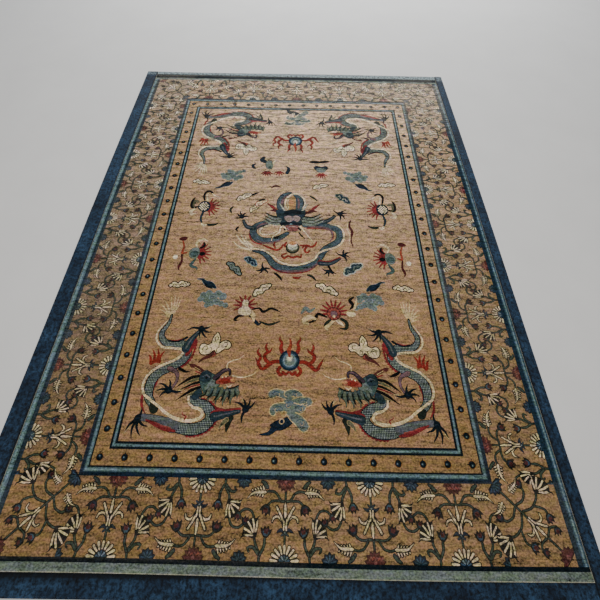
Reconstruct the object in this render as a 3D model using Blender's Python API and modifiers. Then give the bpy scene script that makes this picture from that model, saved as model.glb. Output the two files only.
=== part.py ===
"""Chinese silk rug, lying flat.

One woven rug with four plain cloth bands sewn round it: two side bands that run the full length and two
end bands butted between them.  The underside is flat on the floor.  Old fold lines cross the rug as low
soft ridges.  X is across the rug, +Y is its length, +Z is up, and the origin is under the middle.
"""

import bmesh
import bpy
from math import exp, pi, sin

# ---- sizes in metres -------------------------------------------------------------------------
RUG_WIDTH = 2.590
RUG_LENGTH = 3.458
RUG_THICK = 0.0090
BAND_THICK = 0.0060
BAND_LEFT = 0.098
BAND_RIGHT = 0.068
BAND_NEAR = 0.083
BAND_FAR = 0.058
SEAM = 0.0004  # the gap that a row of stitches closes between two pieces

# ---- how far the hand-woven rug is out of square ----------------------------------------------
WEDGE = 0.0050  # the right side is longer than the left, by this share for each metre across
EDGE_WANDER = 0.0030  # how far the long edges bow in and out
END_WANDER = 0.0035  # how far the ends bow

# ---- the old fold lines: (distance up the rug, slant, height, half width, middle, reach) -------
FOLDS = (
    (0.815, -0.025, 0.0018, 0.026, -0.35, 1.00),
    (0.165, 0.012, 0.0015, 0.024, 0.00, 1.60),
    (-0.405, -0.035, 0.0022, 0.022, 0.25, 0.95),
)
FOLD_ROWS = (-2.2, -1.1, 0.0, 1.1, 2.2)  # rows of points across each fold line, in half widths

ACROSS = 22  # strips across the rug's own width
PLAIN_STEP = 0.24  # row spacing between the fold lines


def lay(x, y):
    """Moves a point of the square plan to where the hand-made rug has it."""
    bow = EDGE_WANDER * sin(1.9 * y + 0.8) * x / (RUG_WIDTH / 2)
    dip = END_WANDER * sin(2.3 * x + 0.4) * y / (RUG_LENGTH / 2)
    return x + bow, y * (1 + WEDGE * x) + dip


def fold_height(x, y):
    """How high the old fold lines lift the cloth at a point of the plan."""
    lift = 0.0
    for up, slant, height, half, middle, reach in FOLDS:
        off = (y - up - slant * x) / half
        fade = exp(-(((x - middle) / reach) ** 4))
        lift += height * fade * exp(-off * off)
    return lift


def rows_between(low, high):
    """Row positions up the plan: close together over each fold line, wide apart elsewhere."""
    fixed = [low, high]
    for up, slant, height, half, middle, reach in FOLDS:
        fixed += [up + k * half for k in FOLD_ROWS if low < up + k * half < high]
    fixed.sort()
    rows = [fixed[0]]
    for stop in fixed[1:]:
        count = max(1, round((stop - rows[-1]) / PLAIN_STEP))
        start = rows[-1]
        rows += [start + (stop - start) * (k + 1) / count for k in range(count)]
    return rows


def finish_material(name, colour, roughness):
    material = bpy.data.materials.new(name)
    material.use_nodes = True
    shader = material.node_tree.nodes["Principled BSDF"]
    shader.inputs["Base Color"].default_value = (*colour, 1.0)
    shader.inputs["Roughness"].default_value = roughness
    shader.inputs["Metallic"].default_value = 0.0
    return material


def cloth_slab(name, x_low, x_high, y_low, y_high, thick, strips, material, collection):
    """A flat piece of cloth between plan limits: uneven edges, fold ridges on top, flat below."""
    rows = rows_between(y_low, y_high)
    steps = len(rows) - 1
    mesh = bpy.data.meshes.new(name)
    bm = bmesh.new()
    bmesh.ops.create_grid(bm, x_segments=strips, y_segments=steps, size=0.5)
    for vert in bm.verts:
        x = x_low + (vert.co.x + 0.5) * (x_high - x_low)
        y = rows[round((vert.co.y + 0.5) * steps)]
        px, py = lay(x, y)
        vert.co = (px, py, thick + fold_height(x, y) * thick / RUG_THICK)
    under = bmesh.ops.extrude_face_region(bm, geom=bm.faces[:], use_keep_orig=True)
    floor_verts = [g for g in under["geom"] if isinstance(g, bmesh.types.BMVert)]
    floor_faces = [g for g in under["geom"] if isinstance(g, bmesh.types.BMFace)]
    for vert in floor_verts:
        vert.co.z = 0.0
    bmesh.ops.dissolve_faces(bm, faces=floor_faces)
    bmesh.ops.recalc_face_normals(bm, faces=bm.faces[:])
    bm.to_mesh(mesh)
    bm.free()
    piece = bpy.data.objects.new(name, mesh)
    piece.data.materials.append(material)
    collection.objects.link(piece)
    soft_edge = piece.modifiers.new("soft edge", "BEVEL")
    soft_edge.width = 0.0018
    soft_edge.segments = 2
    soft_edge.limit_method = "ANGLE"
    soft_edge.angle_limit = pi / 4
    piece.data.shade_smooth()
    piece.data.set_sharp_from_angle(angle=pi / 4)
    return piece


for old in list(bpy.data.objects):
    bpy.data.objects.remove(old, do_unlink=True)

rug_set = bpy.data.collections.new("chinese_silk_rug")
bpy.context.scene.collection.children.link(rug_set)

silk = finish_material("silk_rug", (0.36, 0.22, 0.10), 0.75)
blue = finish_material("blue_band", (0.020, 0.050, 0.110), 0.85)

half_w = RUG_WIDTH / 2
half_l = RUG_LENGTH / 2
low_end = -half_l - SEAM - BAND_NEAR
high_end = half_l + SEAM + BAND_FAR

pieces = [
    cloth_slab("rug", -half_w, half_w, -half_l, half_l, RUG_THICK, ACROSS, silk, rug_set),
    cloth_slab(
        "band_left", -half_w - SEAM - BAND_LEFT, -half_w - SEAM, low_end, high_end, BAND_THICK, 2, blue, rug_set
    ),
    cloth_slab(
        "band_right", half_w + SEAM, half_w + SEAM + BAND_RIGHT, low_end, high_end, BAND_THICK, 2, blue, rug_set
    ),
    cloth_slab("band_near", -half_w, half_w, low_end, -half_l - SEAM, BAND_THICK, ACROSS, blue, rug_set),
    cloth_slab("band_far", -half_w, half_w, half_l + SEAM, high_end, BAND_THICK, ACROSS, blue, rug_set),
]

# The middle of the whole outline goes over the origin.
corners = [v.co for piece in pieces for v in piece.data.vertices]
middle_x = (min(c.x for c in corners) + max(c.x for c in corners)) / 2
middle_y = (min(c.y for c in corners) + max(c.y for c in corners)) / 2
for piece in pieces:
    for vert in piece.data.vertices:
        vert.co.x -= middle_x
        vert.co.y -= middle_y
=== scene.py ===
# %% [markdown]
# # A silk rug with dragons, in a blue cloth binding
#
# The rug is a flat hand-knotted pile on a cotton foundation, about nine feet by twelve, with a strip of
# blue cloth sewn on along each edge.  The solids that carry its size and weight come from the packed
# frame.  This script lays the woven pile, the foundation, the strips and the stitches over them.
#
# Nothing is painted on a picture.  Every figure is an outline filled with one colour of yarn, as a
# weaver's drawing has it, and the finished drawing is cut into the pile as real faces.

from array import array
from math import atan2, cos, degrees, exp, hypot, pi, radians, sin

import bmesh
import bpy
import numpy as np
from mathutils import Matrix, Vector, noise
from mathutils.geometry import delaunay_2d_cdt


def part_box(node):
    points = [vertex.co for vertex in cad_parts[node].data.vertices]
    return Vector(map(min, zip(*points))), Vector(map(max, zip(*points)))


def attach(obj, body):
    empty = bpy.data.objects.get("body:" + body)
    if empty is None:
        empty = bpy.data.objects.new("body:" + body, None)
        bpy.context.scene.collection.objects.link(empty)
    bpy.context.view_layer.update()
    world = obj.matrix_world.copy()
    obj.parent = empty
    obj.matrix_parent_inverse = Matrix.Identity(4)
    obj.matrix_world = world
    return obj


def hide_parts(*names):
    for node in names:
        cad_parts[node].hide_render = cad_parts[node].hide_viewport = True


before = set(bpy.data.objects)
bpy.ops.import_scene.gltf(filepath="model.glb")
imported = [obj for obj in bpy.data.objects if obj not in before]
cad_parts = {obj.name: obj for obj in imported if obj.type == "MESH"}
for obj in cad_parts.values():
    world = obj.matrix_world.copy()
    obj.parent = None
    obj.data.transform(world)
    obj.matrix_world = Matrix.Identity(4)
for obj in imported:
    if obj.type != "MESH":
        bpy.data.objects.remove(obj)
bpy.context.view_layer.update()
rug_low, rug_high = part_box("rug")
MIDDLE_X = (rug_low[0] + rug_high[0]) / 2
MIDDLE_Y = (rug_low[1] + rug_high[1]) / 2
print("solids:", sorted(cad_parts))
print("rug: %.3f x %.3f m" % (rug_high[0] - rug_low[0], rug_high[1] - rug_low[1]))

# %% [markdown]
# # How the rug lies
#
# A hand-made rug is never quite square: it is a little wider in its rows at one end, its edges wander by
# a few millimetres, and it has lain folded, so that three soft creases cross it.  The same few rules that
# shape the solid move every point of the pattern, so pile and solid always agree.

# %% the true plan and the folds
RUG_WIDTH, RUG_LENGTH = 2.590, 3.458
RUG_THICK, BAND_THICK = 0.0090, 0.0060
BAND_LEFT, BAND_RIGHT, BAND_NEAR, BAND_FAR = 0.098, 0.068, 0.083, 0.058
SEAM = 0.0004
WEDGE = 0.0050
EDGE_WANDER, END_WANDER = 0.0030, 0.0035

# where a fold crosses the middle line, its slant, height, half width, the middle and half its reach
FOLDS = (
    (0.815, -0.025, 0.0018, 0.026, -0.35, 1.00),
    (0.165, 0.012, 0.0015, 0.024, 0.00, 1.60),
    (-0.405, -0.035, 0.0022, 0.022, 0.25, 0.95),
)


def lay(x, y):
    """A point of the true rectangle, in metres from the middle, as it lies on the floor."""
    bow = EDGE_WANDER * sin(1.9 * y + 0.8) * x / (RUG_WIDTH / 2)
    dip = END_WANDER * sin(2.3 * x + 0.4) * y / (RUG_LENGTH / 2)
    return MIDDLE_X + x + bow, MIDDLE_Y + y * (1 + WEDGE * x) + dip


def fold_height(x, y):
    """How far the creases lift the cloth at that point."""
    lift = 0.0
    for up, slant, height, half, middle, reach in FOLDS:
        along = exp(-(((x - middle) / reach) ** 4))
        lift += height * along * exp(-(((y - up - slant * x) / half) ** 2))
    return lift


print("highest crease: %.1f mm" % (1000 * max(fold_height(f[4], f[0] + f[1] * f[4]) for f in FOLDS)))
# %% [markdown]
# # Drawing with yarn
#
# The weaver works from a drawing in which every shape has one colour of yarn.  Here such a drawing is a
# list of patches, each one yarn and one outline in millimetres, and a later patch covers an earlier one.
# Long shapes such as stems and bodies are ribbons along a smooth line; flowers and clouds are closed
# outlines.  Nothing is painted yet: the outlines are cut into one sheet of faces further down.

# %% smooth lines
def smooth(points, closed=False, step=9.0):
    """A flowing line through a few points, with a new point about every `step` millimetres."""
    count, line = len(points), []
    for i in range(count if closed else count - 1):
        p1, p2 = points[i], points[(i + 1) % count]
        p0 = points[i - 1] if closed or i else p1
        p3 = points[(i + 2) % count] if closed or i + 2 < count else p2
        pieces = min(10, max(2, round(hypot(p2[0] - p1[0], p2[1] - p1[1]) / step)))
        for k in range(pieces):
            t = k / pieces
            a, b = t * t, t * t * t
            weights = -t + 2 * a - b, 2 - 5 * a + 3 * b, t + 4 * a - 3 * b, b - a
            near = list(zip(weights, (p0, p1, p2, p3)))
            line.append(tuple(sum(w * p[axis] for w, p in near) / 2 for axis in (0, 1)))
    if not closed:
        line.append(points[-1])
    return line


def sides(line):
    """For each point of a line, the unit vector to its left."""
    normals = []
    for i in range(len(line)):
        a, b = line[max(i - 1, 0)], line[min(i + 1, len(line) - 1)]
        dx, dy = b[0] - a[0], b[1] - a[1]
        size = hypot(dx, dy) or 1.0
        normals.append((-dy / size, dx / size))
    return normals


def spread(values, count):
    """A few widths, shared out evenly over `count` points."""
    if not hasattr(values, "__len__"):
        return [values] * count
    out = []
    for i in range(count):
        t = i * (len(values) - 1) / max(1, count - 1)
        k = min(int(t), len(values) - 2)
        out.append(values[k] + (values[k + 1] - values[k]) * (t - k))
    return out


def shifted(line, offset):
    """The line moved to its left by an offset, or by one offset a point."""
    rows = zip(line, sides(line), spread(offset, len(line)))
    return [(p[0] + n[0] * o, p[1] + n[1] * o) for p, n, o in rows]


def polar(angle, rx, ry, x=0.0, y=0.0):
    """The point of an oval round (x, y) at an angle in degrees."""
    return x + rx * cos(radians(angle)), y + ry * sin(radians(angle))


POINTED, FULL_ROUND = 1.2, 5.0


def round_end(line, at, back, h):
    """The points of a round end, from the right-hand side round to the left-hand side."""
    x, y = line[at]
    heading = degrees(atan2(y - line[back][1], x - line[back][0]))
    turns = () if h < POINTED else (-45, 0, 45) if h > FULL_ROUND else (0,)
    return [polar(heading + a, h, h, x, y) for a in turns]


print("a smooth line through three points:", len(smooth([(0, 0), (50, 40), (100, 0)])), "points")

# %% ribbons and outlines
def ribbon(line, widths, extra=0.0):
    """The outline of a ribbon along a line, with round ends where it has width."""
    half = [w / 2 + extra for w in spread(widths, len(line))]
    left, right = shifted(line, half), shifted(line, [-h for h in half])
    return right + round_end(line, -1, -2, half[-1]) + left[::-1] + round_end(line, 0, 1, half[0])


def swell(loop, by):
    """A closed outline, grown outwards all round."""
    area = sum(a[0] * b[1] - b[0] * a[1] for a, b in zip(loop, loop[1:] + loop[:1]))
    sign = -1 if area > 0 else 1
    normals = sides([loop[-1], *loop, loop[0]])[1:-1]
    return [(p[0] + sign * by * n[0], p[1] + sign * by * n[1]) for p, n in zip(loop, normals)]


print("the outline of a ribbon with two round ends:", len(ribbon([(0, 0), (50, 0)], 12)), "points")

# %% a pattern of patches
class Pattern:
    """Patches in the order in which they are laid: (yarn, outline).  `bold` thickens its lines."""

    def __init__(self, bold=1.0):
        self.patches, self.bold = [], bold

    def area(self, yarn, loop):
        self.patches.append((yarn, list(loop)))

    def box(self, yarn, x0, y0, x1, y1):
        self.area(yarn, [(x0, y0), (x1, y0), (x1, y1), (x0, y1)])

    def line(self, points, widths, yarn, edge=0.0, ink="ink", step=9.0):
        line = smooth(points, step=step) if len(points) > 2 else list(points)
        widths = [w * self.bold for w in spread(widths, len(line))]
        if edge:
            self.area(ink, ribbon(line, widths, edge))
        self.area(yarn, ribbon(line, widths))

    def blob(self, points, yarn, edge=0.0, ink="ink"):
        loop = smooth(points, closed=True)
        if edge:
            self.area(ink, swell(loop, edge))
        self.area(yarn, loop)

    def disc(self, x, y, r, yarn, edge=0.0, ink="ink", corners=14):
        for radius, colour in ((r + edge, ink), (r, yarn))[0 if edge else 1 :]:
            turns = [360 * k / corners for k in range(corners)]
            self.area(colour, [polar(a, radius, radius, x, y) for a in turns])

    def add(self, other, x=0.0, y=0.0, turn=0.0, flip_x=1, flip_y=1, size=1.0, stretch=1.0):
        """Lays in a copy of another pattern: stretched along x, sized, flipped, turned, then moved."""
        c, s = cos(radians(turn)), sin(radians(turn))
        for yarn, loop in other.patches:
            sized = [(u * size * stretch * flip_x, v * size * flip_y) for u, v in loop]
            self.area(yarn, [(x + c * u - s * v, y + s * u + c * v) for u, v in sized])

    def both(self, half):
        """Lays in a half and its mirror image."""
        for flip in (-1, 1):
            self.add(half, flip_x=flip)


def tell(label, pattern):
    print("%s: %d patches" % (label, len(pattern.patches)))
# %% [markdown]
# # The flower sprig of the main border
#
# One sprig stands on an edge of the border and reaches across it: an ivory fan with a blue heart, a small
# leaf bar, an ivory lily, a bough with leaves and buds, and a wine-red blossom that hangs from the other
# edge.  Next to it stands the same sprig turned head to foot, so drawing one gives the whole border.

# %% flowers
def vine(out, points, width=5.0):
    """A stem: a grey-green thread between two dark ones."""
    out.line(points, width, "fern", 3.2)


def fan_flower():
    """Half a flower that stands on an edge: ivory petals all round a dark heart with blue rays."""
    out, r = Pattern(), 38.0
    out.area("ink", [polar(a, 1.02 * r, 0.95 * r) for a in range(0, 181, 20)])
    for a in range(6, 175, 21):
        petal = [polar(a, 0.80 * r, 0.74 * r), polar(a, 1.50 * r, 1.36 * r)]
        out.line(petal, (6.5, 10.5), "ivory", 3.6)
    out.area("deep", [polar(a, 0.66 * r, 0.62 * r) for a in range(0, 181, 30)])
    for a in range(20, 180, 35):
        x, y = polar(a, 0.56 * r, 0.52 * r)
        out.line([(0.3 * x, 0.3 * y), (x, y)], (3, 7), "sky" if a % 2 else "blue")
    return out


def lump_flower(yarn, heart, r, scallops, rim_width=2.5):
    """Half a round blossom that stands on an edge, its rim in scallops."""
    out, rim = Pattern(), []
    wide = 180 / scallops
    for k in range(scallops):
        rim += [polar(wide * k, 0.88 * r, 0.88 * r), polar(wide * (k + 0.5), 1.15 * r, 1.15 * r)]
    rim += [(-0.88 * r, 0), (0, -2)]
    out.area("ink", swell(rim, rim_width))
    out.area(yarn, rim)
    for k in range(scallops):
        a = wide * (k + 0.5)
        out.line([polar(a, 5, 5), polar(a, 0.8 * r, 0.8 * r)], (2, 5), heart)
    return out


def hanging_blossom(r):
    """The wine-red blossom that hangs from the outer edge."""
    return lump_flower("maroon", "wine", r, 7)

# %% lilies, a leaf and a bud
def lily():
    """An open lily at the origin, looking along +y: petals that curl out between dark outlines."""
    out, petals, cup = Pattern(), Pattern(), Pattern()
    out.line([(0, -16), (0, 34)], (14, 18), "ink")
    petals.line([(6, -8), (12, 10), (30, 26), (50, 22), (56, 8)], (7, 8, 8, 7, 4), "ivory", 4.4)
    petals.line([(6, 2), (16, 24), (38, 60)], (6, 8, 7), "ivory", 4.4)
    out.both(petals)
    out.line([(0, 26), (0, 52), (-1, 76)], (9, 11, 5), "ivory", 4.4)
    cup.line([(6, -20), (5, 2), (9, 16)], 6, "ivory", 2)
    out.both(cup)
    out.line([(0, -16), (0, 18)], 3, "ink")
    return out


def half_lily():
    """A lily seen from the side: a dark fan of petals to one side of its stem, striped with ivory."""
    out = Pattern()
    out.blob([(6, -10), (14, 50), (8, 66), (-16, 70), (-42, 56), (-58, 30), (-62, 4), (-30, -8)], "ink")
    tips = ((8, 62), (-14, 66), (-38, 52), (-54, 26), (-58, 0))
    for tip, foot in zip(tips, ((4, 12), (-4, 14), (-10, 12), (-12, 4), (-10, -2))):
        bend = ((foot[0] + tip[0]) / 2 + tip[1] * 0.04, (foot[1] + tip[1]) / 2)
        out.line([foot, bend, tip], (5, 8.5, 8), "ivory", 3)
    out.line([(6, 58), (14, 74), (28, 78)], (7, 6, 0), "ink")
    out.line([(-52, -2), (-66, -8), (-72, -20)], (7, 6, 0), "ink")
    return out


def saw_leaf():
    """A small leaf like a comb, with teeth along both sides, from the origin along +x."""
    out = Pattern()
    for k in range(5):
        x, y = 8 + 12 * k, 3 - 0.4 * (k - 1) ** 2
        out.line([(x - 3, y), (x + 5, y + 22 - 2.8 * k)], (10, 3), "ivory", 4)
        out.line([(x - 1, y), (x + 6, y - 18 + 1.8 * k)], (9, 3), "ivory", 4)
    out.line([(0, 1), (34, 2), (60, -6), (82, -24)], (9, 13, 7, 0), "ivory", 3)
    for k in range(4):
        out.line([(13 + 12 * k, 6), (17 + 12 * k, 18 - 2 * k)], (2.6, 2), "ink")
    return out


def bud(tip="navy"):
    """A tulip-shaped bud at the origin, opening along +y."""
    out = Pattern()
    rim = [(-8, -6), (8, -6), (20, 8), (26, 28), (14, 24), (8, 38), (0, 26)]
    out.area("ink", rim + [(-8, 38), (-14, 24), (-26, 28), (-20, 8)])
    out.area(tip, [(-6, 0), (6, 0), (14, 12), (6, 22), (-6, 22), (-14, 12)])
    out.area("wine", [(-8, 8), (8, 8), (10, 18), (5, 28), (0, 20), (-5, 28), (-10, 18)])
    return out


for label, flower in (("fan", fan_flower()), ("lily", lily()), ("half lily", half_lily()), ("bud", bud())):
    tell(label, flower)

# %% one sprig
SPRIG_PITCH = 385.0


def sprig(bank):
    """The whole sprig: its foot at the origin, the far edge of the border at y = bank."""
    out, half, bar = Pattern(), Pattern(), Pattern()
    # what leaves the foot of the sprig: forked leaves, a bud on its stem and a lily that leans away
    vine(half, [(108, 2), (108, 26), (128, 62), (130, 78)], 6)
    half.line([(112, 24), (134, 46), (158, 44), (150, 30)], (9, 8, 7, 3), "fern", 3)
    vine(half, [(104, 22), (88, 50), (86, 74)], 7)
    half.add(bud("blue"), 84, 84, turn=8)
    vine(half, [(138, 148), (152, 170), (180, 176), (206, 160)])
    half.add(bud("slate"), 208, 164, turn=-165, size=0.85)
    half.add(half_lily(), 130, 86, flip_x=-1, size=0.86)
    # the bough: a leaf above and a bud below on either hand
    vine(half, [(2, 206), (40, 209), (62, 206), (80, 192)])
    half.add(bud(), 82, 190, turn=202, size=1.05)
    vine(half, [(24, 212), (42, 236), (66, 244), (92, 240)])
    half.add(saw_leaf(), 92, 238)
    half.line([(84, 258), (96, 272), (110, 280)], (9, 10, 6), "fern", 4, "deep")
    # the half blossom between this sprig and the next
    half.add(lump_flower("navy", "blue", 30, 5, 4), SPRIG_PITCH / 2)
    out.both(half)
    # the stem from the foot to the blossom, with the lily on it
    vine(out, [(0, 58), (0, 112)])
    bar.line([(0, 98), (18, 106), (36, 96)], (12, 11, 0), "navy", 2.4)
    bar.line([(0, 96), (16, 86)], (9, 4), "slate", 2)
    out.both(bar)
    out.disc(0, 98, 4, "haze")
    vine(out, [(0, 196), (0, 264)])
    out.add(lily(), 0, 126)
    out.add(fan_flower())
    # the blossom hanging from the far edge
    hang = hanging_blossom(40)
    for k, x in enumerate((-24, -12, 0, 13, 25)):
        curl = [(x, 14), (x + 8, 24 - k), (x + 13, 14 + k)]
        hang.line(curl, (5, 6, 3), "rose" if k % 2 else "dusk")
    hang.disc(0, 6, 7, "dusk")
    out.add(hang, 0, bank, flip_y=-1)
    return out


tell("one sprig", sprig(bank=287))
# %% [markdown]
# # The corners of the border
#
# Where two sides of the border meet, a sprig grows across the corner along its diagonal, from a blue half
# blossom at the inner frame to a wine-red one in the outer corner, with a lily on each side of the stem.
# It is drawn upright, then laid in at 45 degrees.

# %% the corner sprig
def corner_sprig(reach):
    """The origin is the inner corner of the border and +y its diagonal."""
    out, half = Pattern(), Pattern()
    # hooked stems on both sides, with buds, and a lily that leans out of each
    vine(half, [(6, 116), (44, 128), (78, 116), (84, 96)])
    half.add(bud(), 84, 98, turn=190, size=0.95)
    vine(half, [(8, 150), (50, 172), (96, 168), (122, 150)])
    half.add(half_lily(), 120, 158, turn=-52, flip_x=-1, size=0.95)
    vine(half, [(62, 176), (84, 214), (74, 236)])
    half.add(bud("blue"), 74, 234, turn=12, size=0.95)
    half.add(saw_leaf(), 32, 66, turn=12, size=0.8)
    vine(half, [(6, 268), (40, 262), (62, 280)])
    half.add(bud(), 58, 280, turn=30, size=0.8)
    out.both(half)
    vine(out, [(0, 26), (0, 190)])
    vine(out, [(0, 262), (0, 330)])
    out.add(lily(), 0, 196, size=0.92)
    out.add(lump_flower("navy", "blue", 36, 6, 4), 0, 2)
    hang = hanging_blossom(38)
    hang.disc(0, 8, 9, "dusk")
    out.add(hang, 0, reach - 34, flip_y=-1)
    return out


tell("corner sprig", corner_sprig(reach=405))
# %% [markdown]
# # Clouds, pearls and ribboned emblems
#
# These are the small traditional figures of the field.  A cloud is a few round lobes run together under
# one outline.  A flaming pearl is a ball in rings with tongues of fire.  An emblem is a knob with red rays
# and loose ribbons.  Each is drawn once round the origin and laid in where it belongs.

# %% clouds
def cloud(lobes, yarn, ink, edge, scrolls=False):
    """Round lobes (x, y, radius) run together under one outline, or each with its own in a scrolled bank."""
    out = Pattern()
    for x, y, r in lobes:
        out.disc(x, y, r + edge, ink)
    for x, y, r in lobes:
        if scrolls:
            out.disc(x, y, r + edge * 0.4, ink)
        out.disc(x, y, r, yarn)
    if not scrolls:
        for a, b in zip(lobes, lobes[1:]):
            out.area(yarn, ribbon([a[:2], b[:2]], (a[2] * 1.3, b[2] * 1.3)))
    return out


def small_cloud(yarn="ivory", ink="ink", long=1.0, curl_yarn=None):
    """A low drifting cloud, about 120 mm long, with short curling lines on top."""
    lobes = [
        (-50 * long, 0, 10), (-30 * long, 6, 16), (-8, -2, 15), (14, 6, 17), (34 * long, 0, 15),
        (54 * long, -2, 9)
    ]
    curls = [
        [(-40 * long, -6), (-28, 8), (-12, -8)], [(0, -6), (14, 8), (28, -6)],
        [(36 * long, 4), (46 * long, -4)]
    ]
    out = cloud(lobes, yarn, ink, 6.5)
    for points in curls:
        out.line(points, (4.5, 5, 2.5), curl_yarn or ink)
    return out

# %% clouds with scrolls
def head_cloud():
    """A bigger ivory cloud with a bud on top and a wine-red tail below, 155 mm long."""
    out = Pattern()
    out.line([(2, -22), (18, -44), (54, -60), (80, -84)], (10, 18, 12, 0), "maroon", 2, "brown")
    out.line([(-6, -24), (-2, -42), (14, -52)], (12, 12, 2), "rose", 2, "brown")
    bank = [
        (84, -8), (78, 14), (60, 20), (42, 12), (26, 22), (0, 26), (-22, 22), (-36, 34), (-58, 40),
        (-78, 30), (-85, 12), (-74, -4), (-54, -4), (-38, -14), (-26, -26), (-10, -28), (-2, -14),
        (10, -14), (22, -28), (40, -36), (62, -38), (78, -28)
    ]
    bud = [(14, 14), (19, 40), (12, 64), (2, 78), (-6, 84), (-14, 72), (-21, 54), (-20, 34), (-15, 14)]
    loops = [smooth(points, closed=True) for points in (bank, bud)]
    for loop in loops:
        out.area("ink", swell(loop, 5.5))
    for loop in loops:
        out.area("ivory", loop)
    for curl in (
        [(-2, 32), (6, 50), (-4, 66), (-12, 52), (-6, 42)],
        [(64, -22), (66, 0), (50, 8), (40, -6), (50, -16)],
        [(-44, 4), (-62, 8), (-64, 26), (-46, 30)],
        [(-14, -26), (-8, -8), (-22, 4)],
        [(26, -28), (16, -8), (26, 0)],
    ):
        out.line(curl, (3.5, 4, 3.5), "moss")
    return out


def blue_cloud():
    """The tall blue cloud by each end of the field, with a dark tail like a bird's."""
    out = Pattern()
    out.line([(2, -60), (-30, -78), (-66, -92), (-92, -116), (-136, -122)], (34, 42, 26, 12, 0), "navy", 2)
    out.line([(-44, -58), (-66, -76), (-84, -84)], (0, 18, 10), "navy", 1)
    out.line([(-6, 34), (-2, 4), (14, -40)], (40, 54, 40), "haze", 4, "cream")
    banks = (
        ([(16, 40), (-20, 46), (-62, 58), (-88, 50)], (20, 30, 30, 34)),
        ([(-14, 54), (20, 58), (46, 46)], (26, 32, 26)),
        ([(10, 6), (50, 18), (88, 20)], (36, 44, 36)),
        ([(20, -6), (52, -12), (66, 0)], (36, 34, 22)),
        ([(-4, -8), (-48, -6), (-80, -16), (-78, -32)], (34, 36, 34, 22)),
        ([(14, -44), (44, -62), (66, -84)], (34, 44, 46)),
    )
    for points, widths in banks:
        out.line(points, widths, "haze", 4, "cream")
    out.line([(-4, 36), (-2, 2), (14, -44)], (26, 42, 26), "haze")
    scrolls = ((-66, 52, 1), (18, 52, 1), (66, 16, 1), (46, -10, 1), (-54, -14, -1), (52, -68, 1), (0, 6, -1))
    for x, y, side in scrolls:
        curl = [(-20, 2), (-6, 12), (12, 8), (14, -5), (2, -9), (-4, -1)]
        out.line([(x + side * u, y + v) for u, v in curl], (3, 5, 4, 3), "blue")
        out.line([(x + side * (u + 1), y + v - 4) for u, v in curl[2:]], (2.5, 2), "cream")
    out.disc(-26, -34, 9, "gold", 4, "cream")
    out.disc(-36, -66, 8, "navy", 5, "cream")
    return out


def cloud_bank():
    """A loose bank of grey-blue cloud, 170 mm across, with a dark leaf-like tail above it."""
    out = Pattern()
    out.line([(104, 118), (76, 116), (52, 94), (20, 84), (-10, 62)], (4, 14, 30, 34, 12), "navy", 2, "sky")
    out.line([(60, 92), (40, 70), (8, 58)], (10, 16, 6), "deep")
    lobes = [
        (-62, 6, 20), (-34, 22, 20), (-6, 4, 22), (22, 24, 18), (52, 10, 19), (70, -14, 13), (34, -16, 17)
    ]
    lobes += [(4, -34, 20), (-30, -28, 17), (-56, -40, 14), (-84, -50, 12), (26, -52, 12)]
    out.add(cloud(lobes, "haze", "sky", 4.0, scrolls=True))
    for x, y, r in ((-58, 4, 11), (-30, 20, 11), (0, 0, 12), (48, 8, 11), (6, -36, 12), (-32, -30, 10)):
        out.line([(x - r, y - 3), (x, y + r * 0.7), (x + r, y - 3)], (3, 3, 3), "blue")
    return out


for label, figure in (
    ("small cloud", small_cloud()), ("head cloud", head_cloud()), ("blue cloud", blue_cloud())
):
    tell(label, figure)

# %% flaming pearls
def flaming_pearl():
    """A ball in rings of blue that pale towards the middle, in tongues of red fire."""
    out, half = Pattern(bold=1.45), Pattern(bold=1.45)
    for points, widths in (
        ([(44, -10), (82, -8), (112, -26), (142, -50), (164, -40)], (12, 12, 14, 12, 4)),
        ([(150, -46), (168, -18), (186, 12)], (9, 9, 0)),
        ([(104, -20), (128, -2), (136, 22), (122, 44), (132, 66), (126, 94)], (8, 13, 12, 10, 8, 0)),
        ([(128, 34), (106, 48), (96, 66)], (9, 7, 0)),
        ([(40, 40), (50, 66), (44, 92), (58, 116), (54, 132)], (13, 13, 10, 8, 0)),
        ([(50, -36), (62, -58), (44, -78), (30, -62)], (10, 11, 10, 5)),
        ([(34, -62), (16, -74), (4, -62)], (9, 10, 6)),
    ):
        half.line(points, widths, "red", 1.6, "wine", step=7)
    out.both(half)
    stray = [(-150, -46), (-170, -20), (-158, 14), (-176, 40), (-166, 66)]
    out.line(stray, (9, 9, 9, 8, 0), "red", 1.6, "wine", step=7)
    for r, yarn in ((56, "navy"), (44, "blue"), (36, "sky"), (28, "haze")):
        out.disc(0, 0, r, yarn, corners=20)
    out.blob([(-20, 20), (-12, -4), (0, -12), (12, -4), (20, 20), (0, 30)], "pale")
    out.blob([(-14, 20), (-7, 2), (0, -4), (8, 2), (15, 20), (0, 27)], "pearl")
    out.line([(0, 22), (-4, 54), (6, 88), (-2, 124)], (6, 13, 8, 0), "brick", 2, "red")
    return out


tell("flaming pearl", flaming_pearl())

# %% emblems with rays and ribbons
def rays(out, x, y, heading, r0, r1, count, fan):
    """Crimson rays round (x, y), from r0 to r1, fanned out over an angle."""
    for k in range(count):
        a = heading - fan / 2 + fan * k / (count - 1)
        ray = [polar(a, r0, r0, x, y), polar(a, r1, r1, x, y)]
        out.line(ray, (10, 5), "crimson", 1, "wine")


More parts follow.
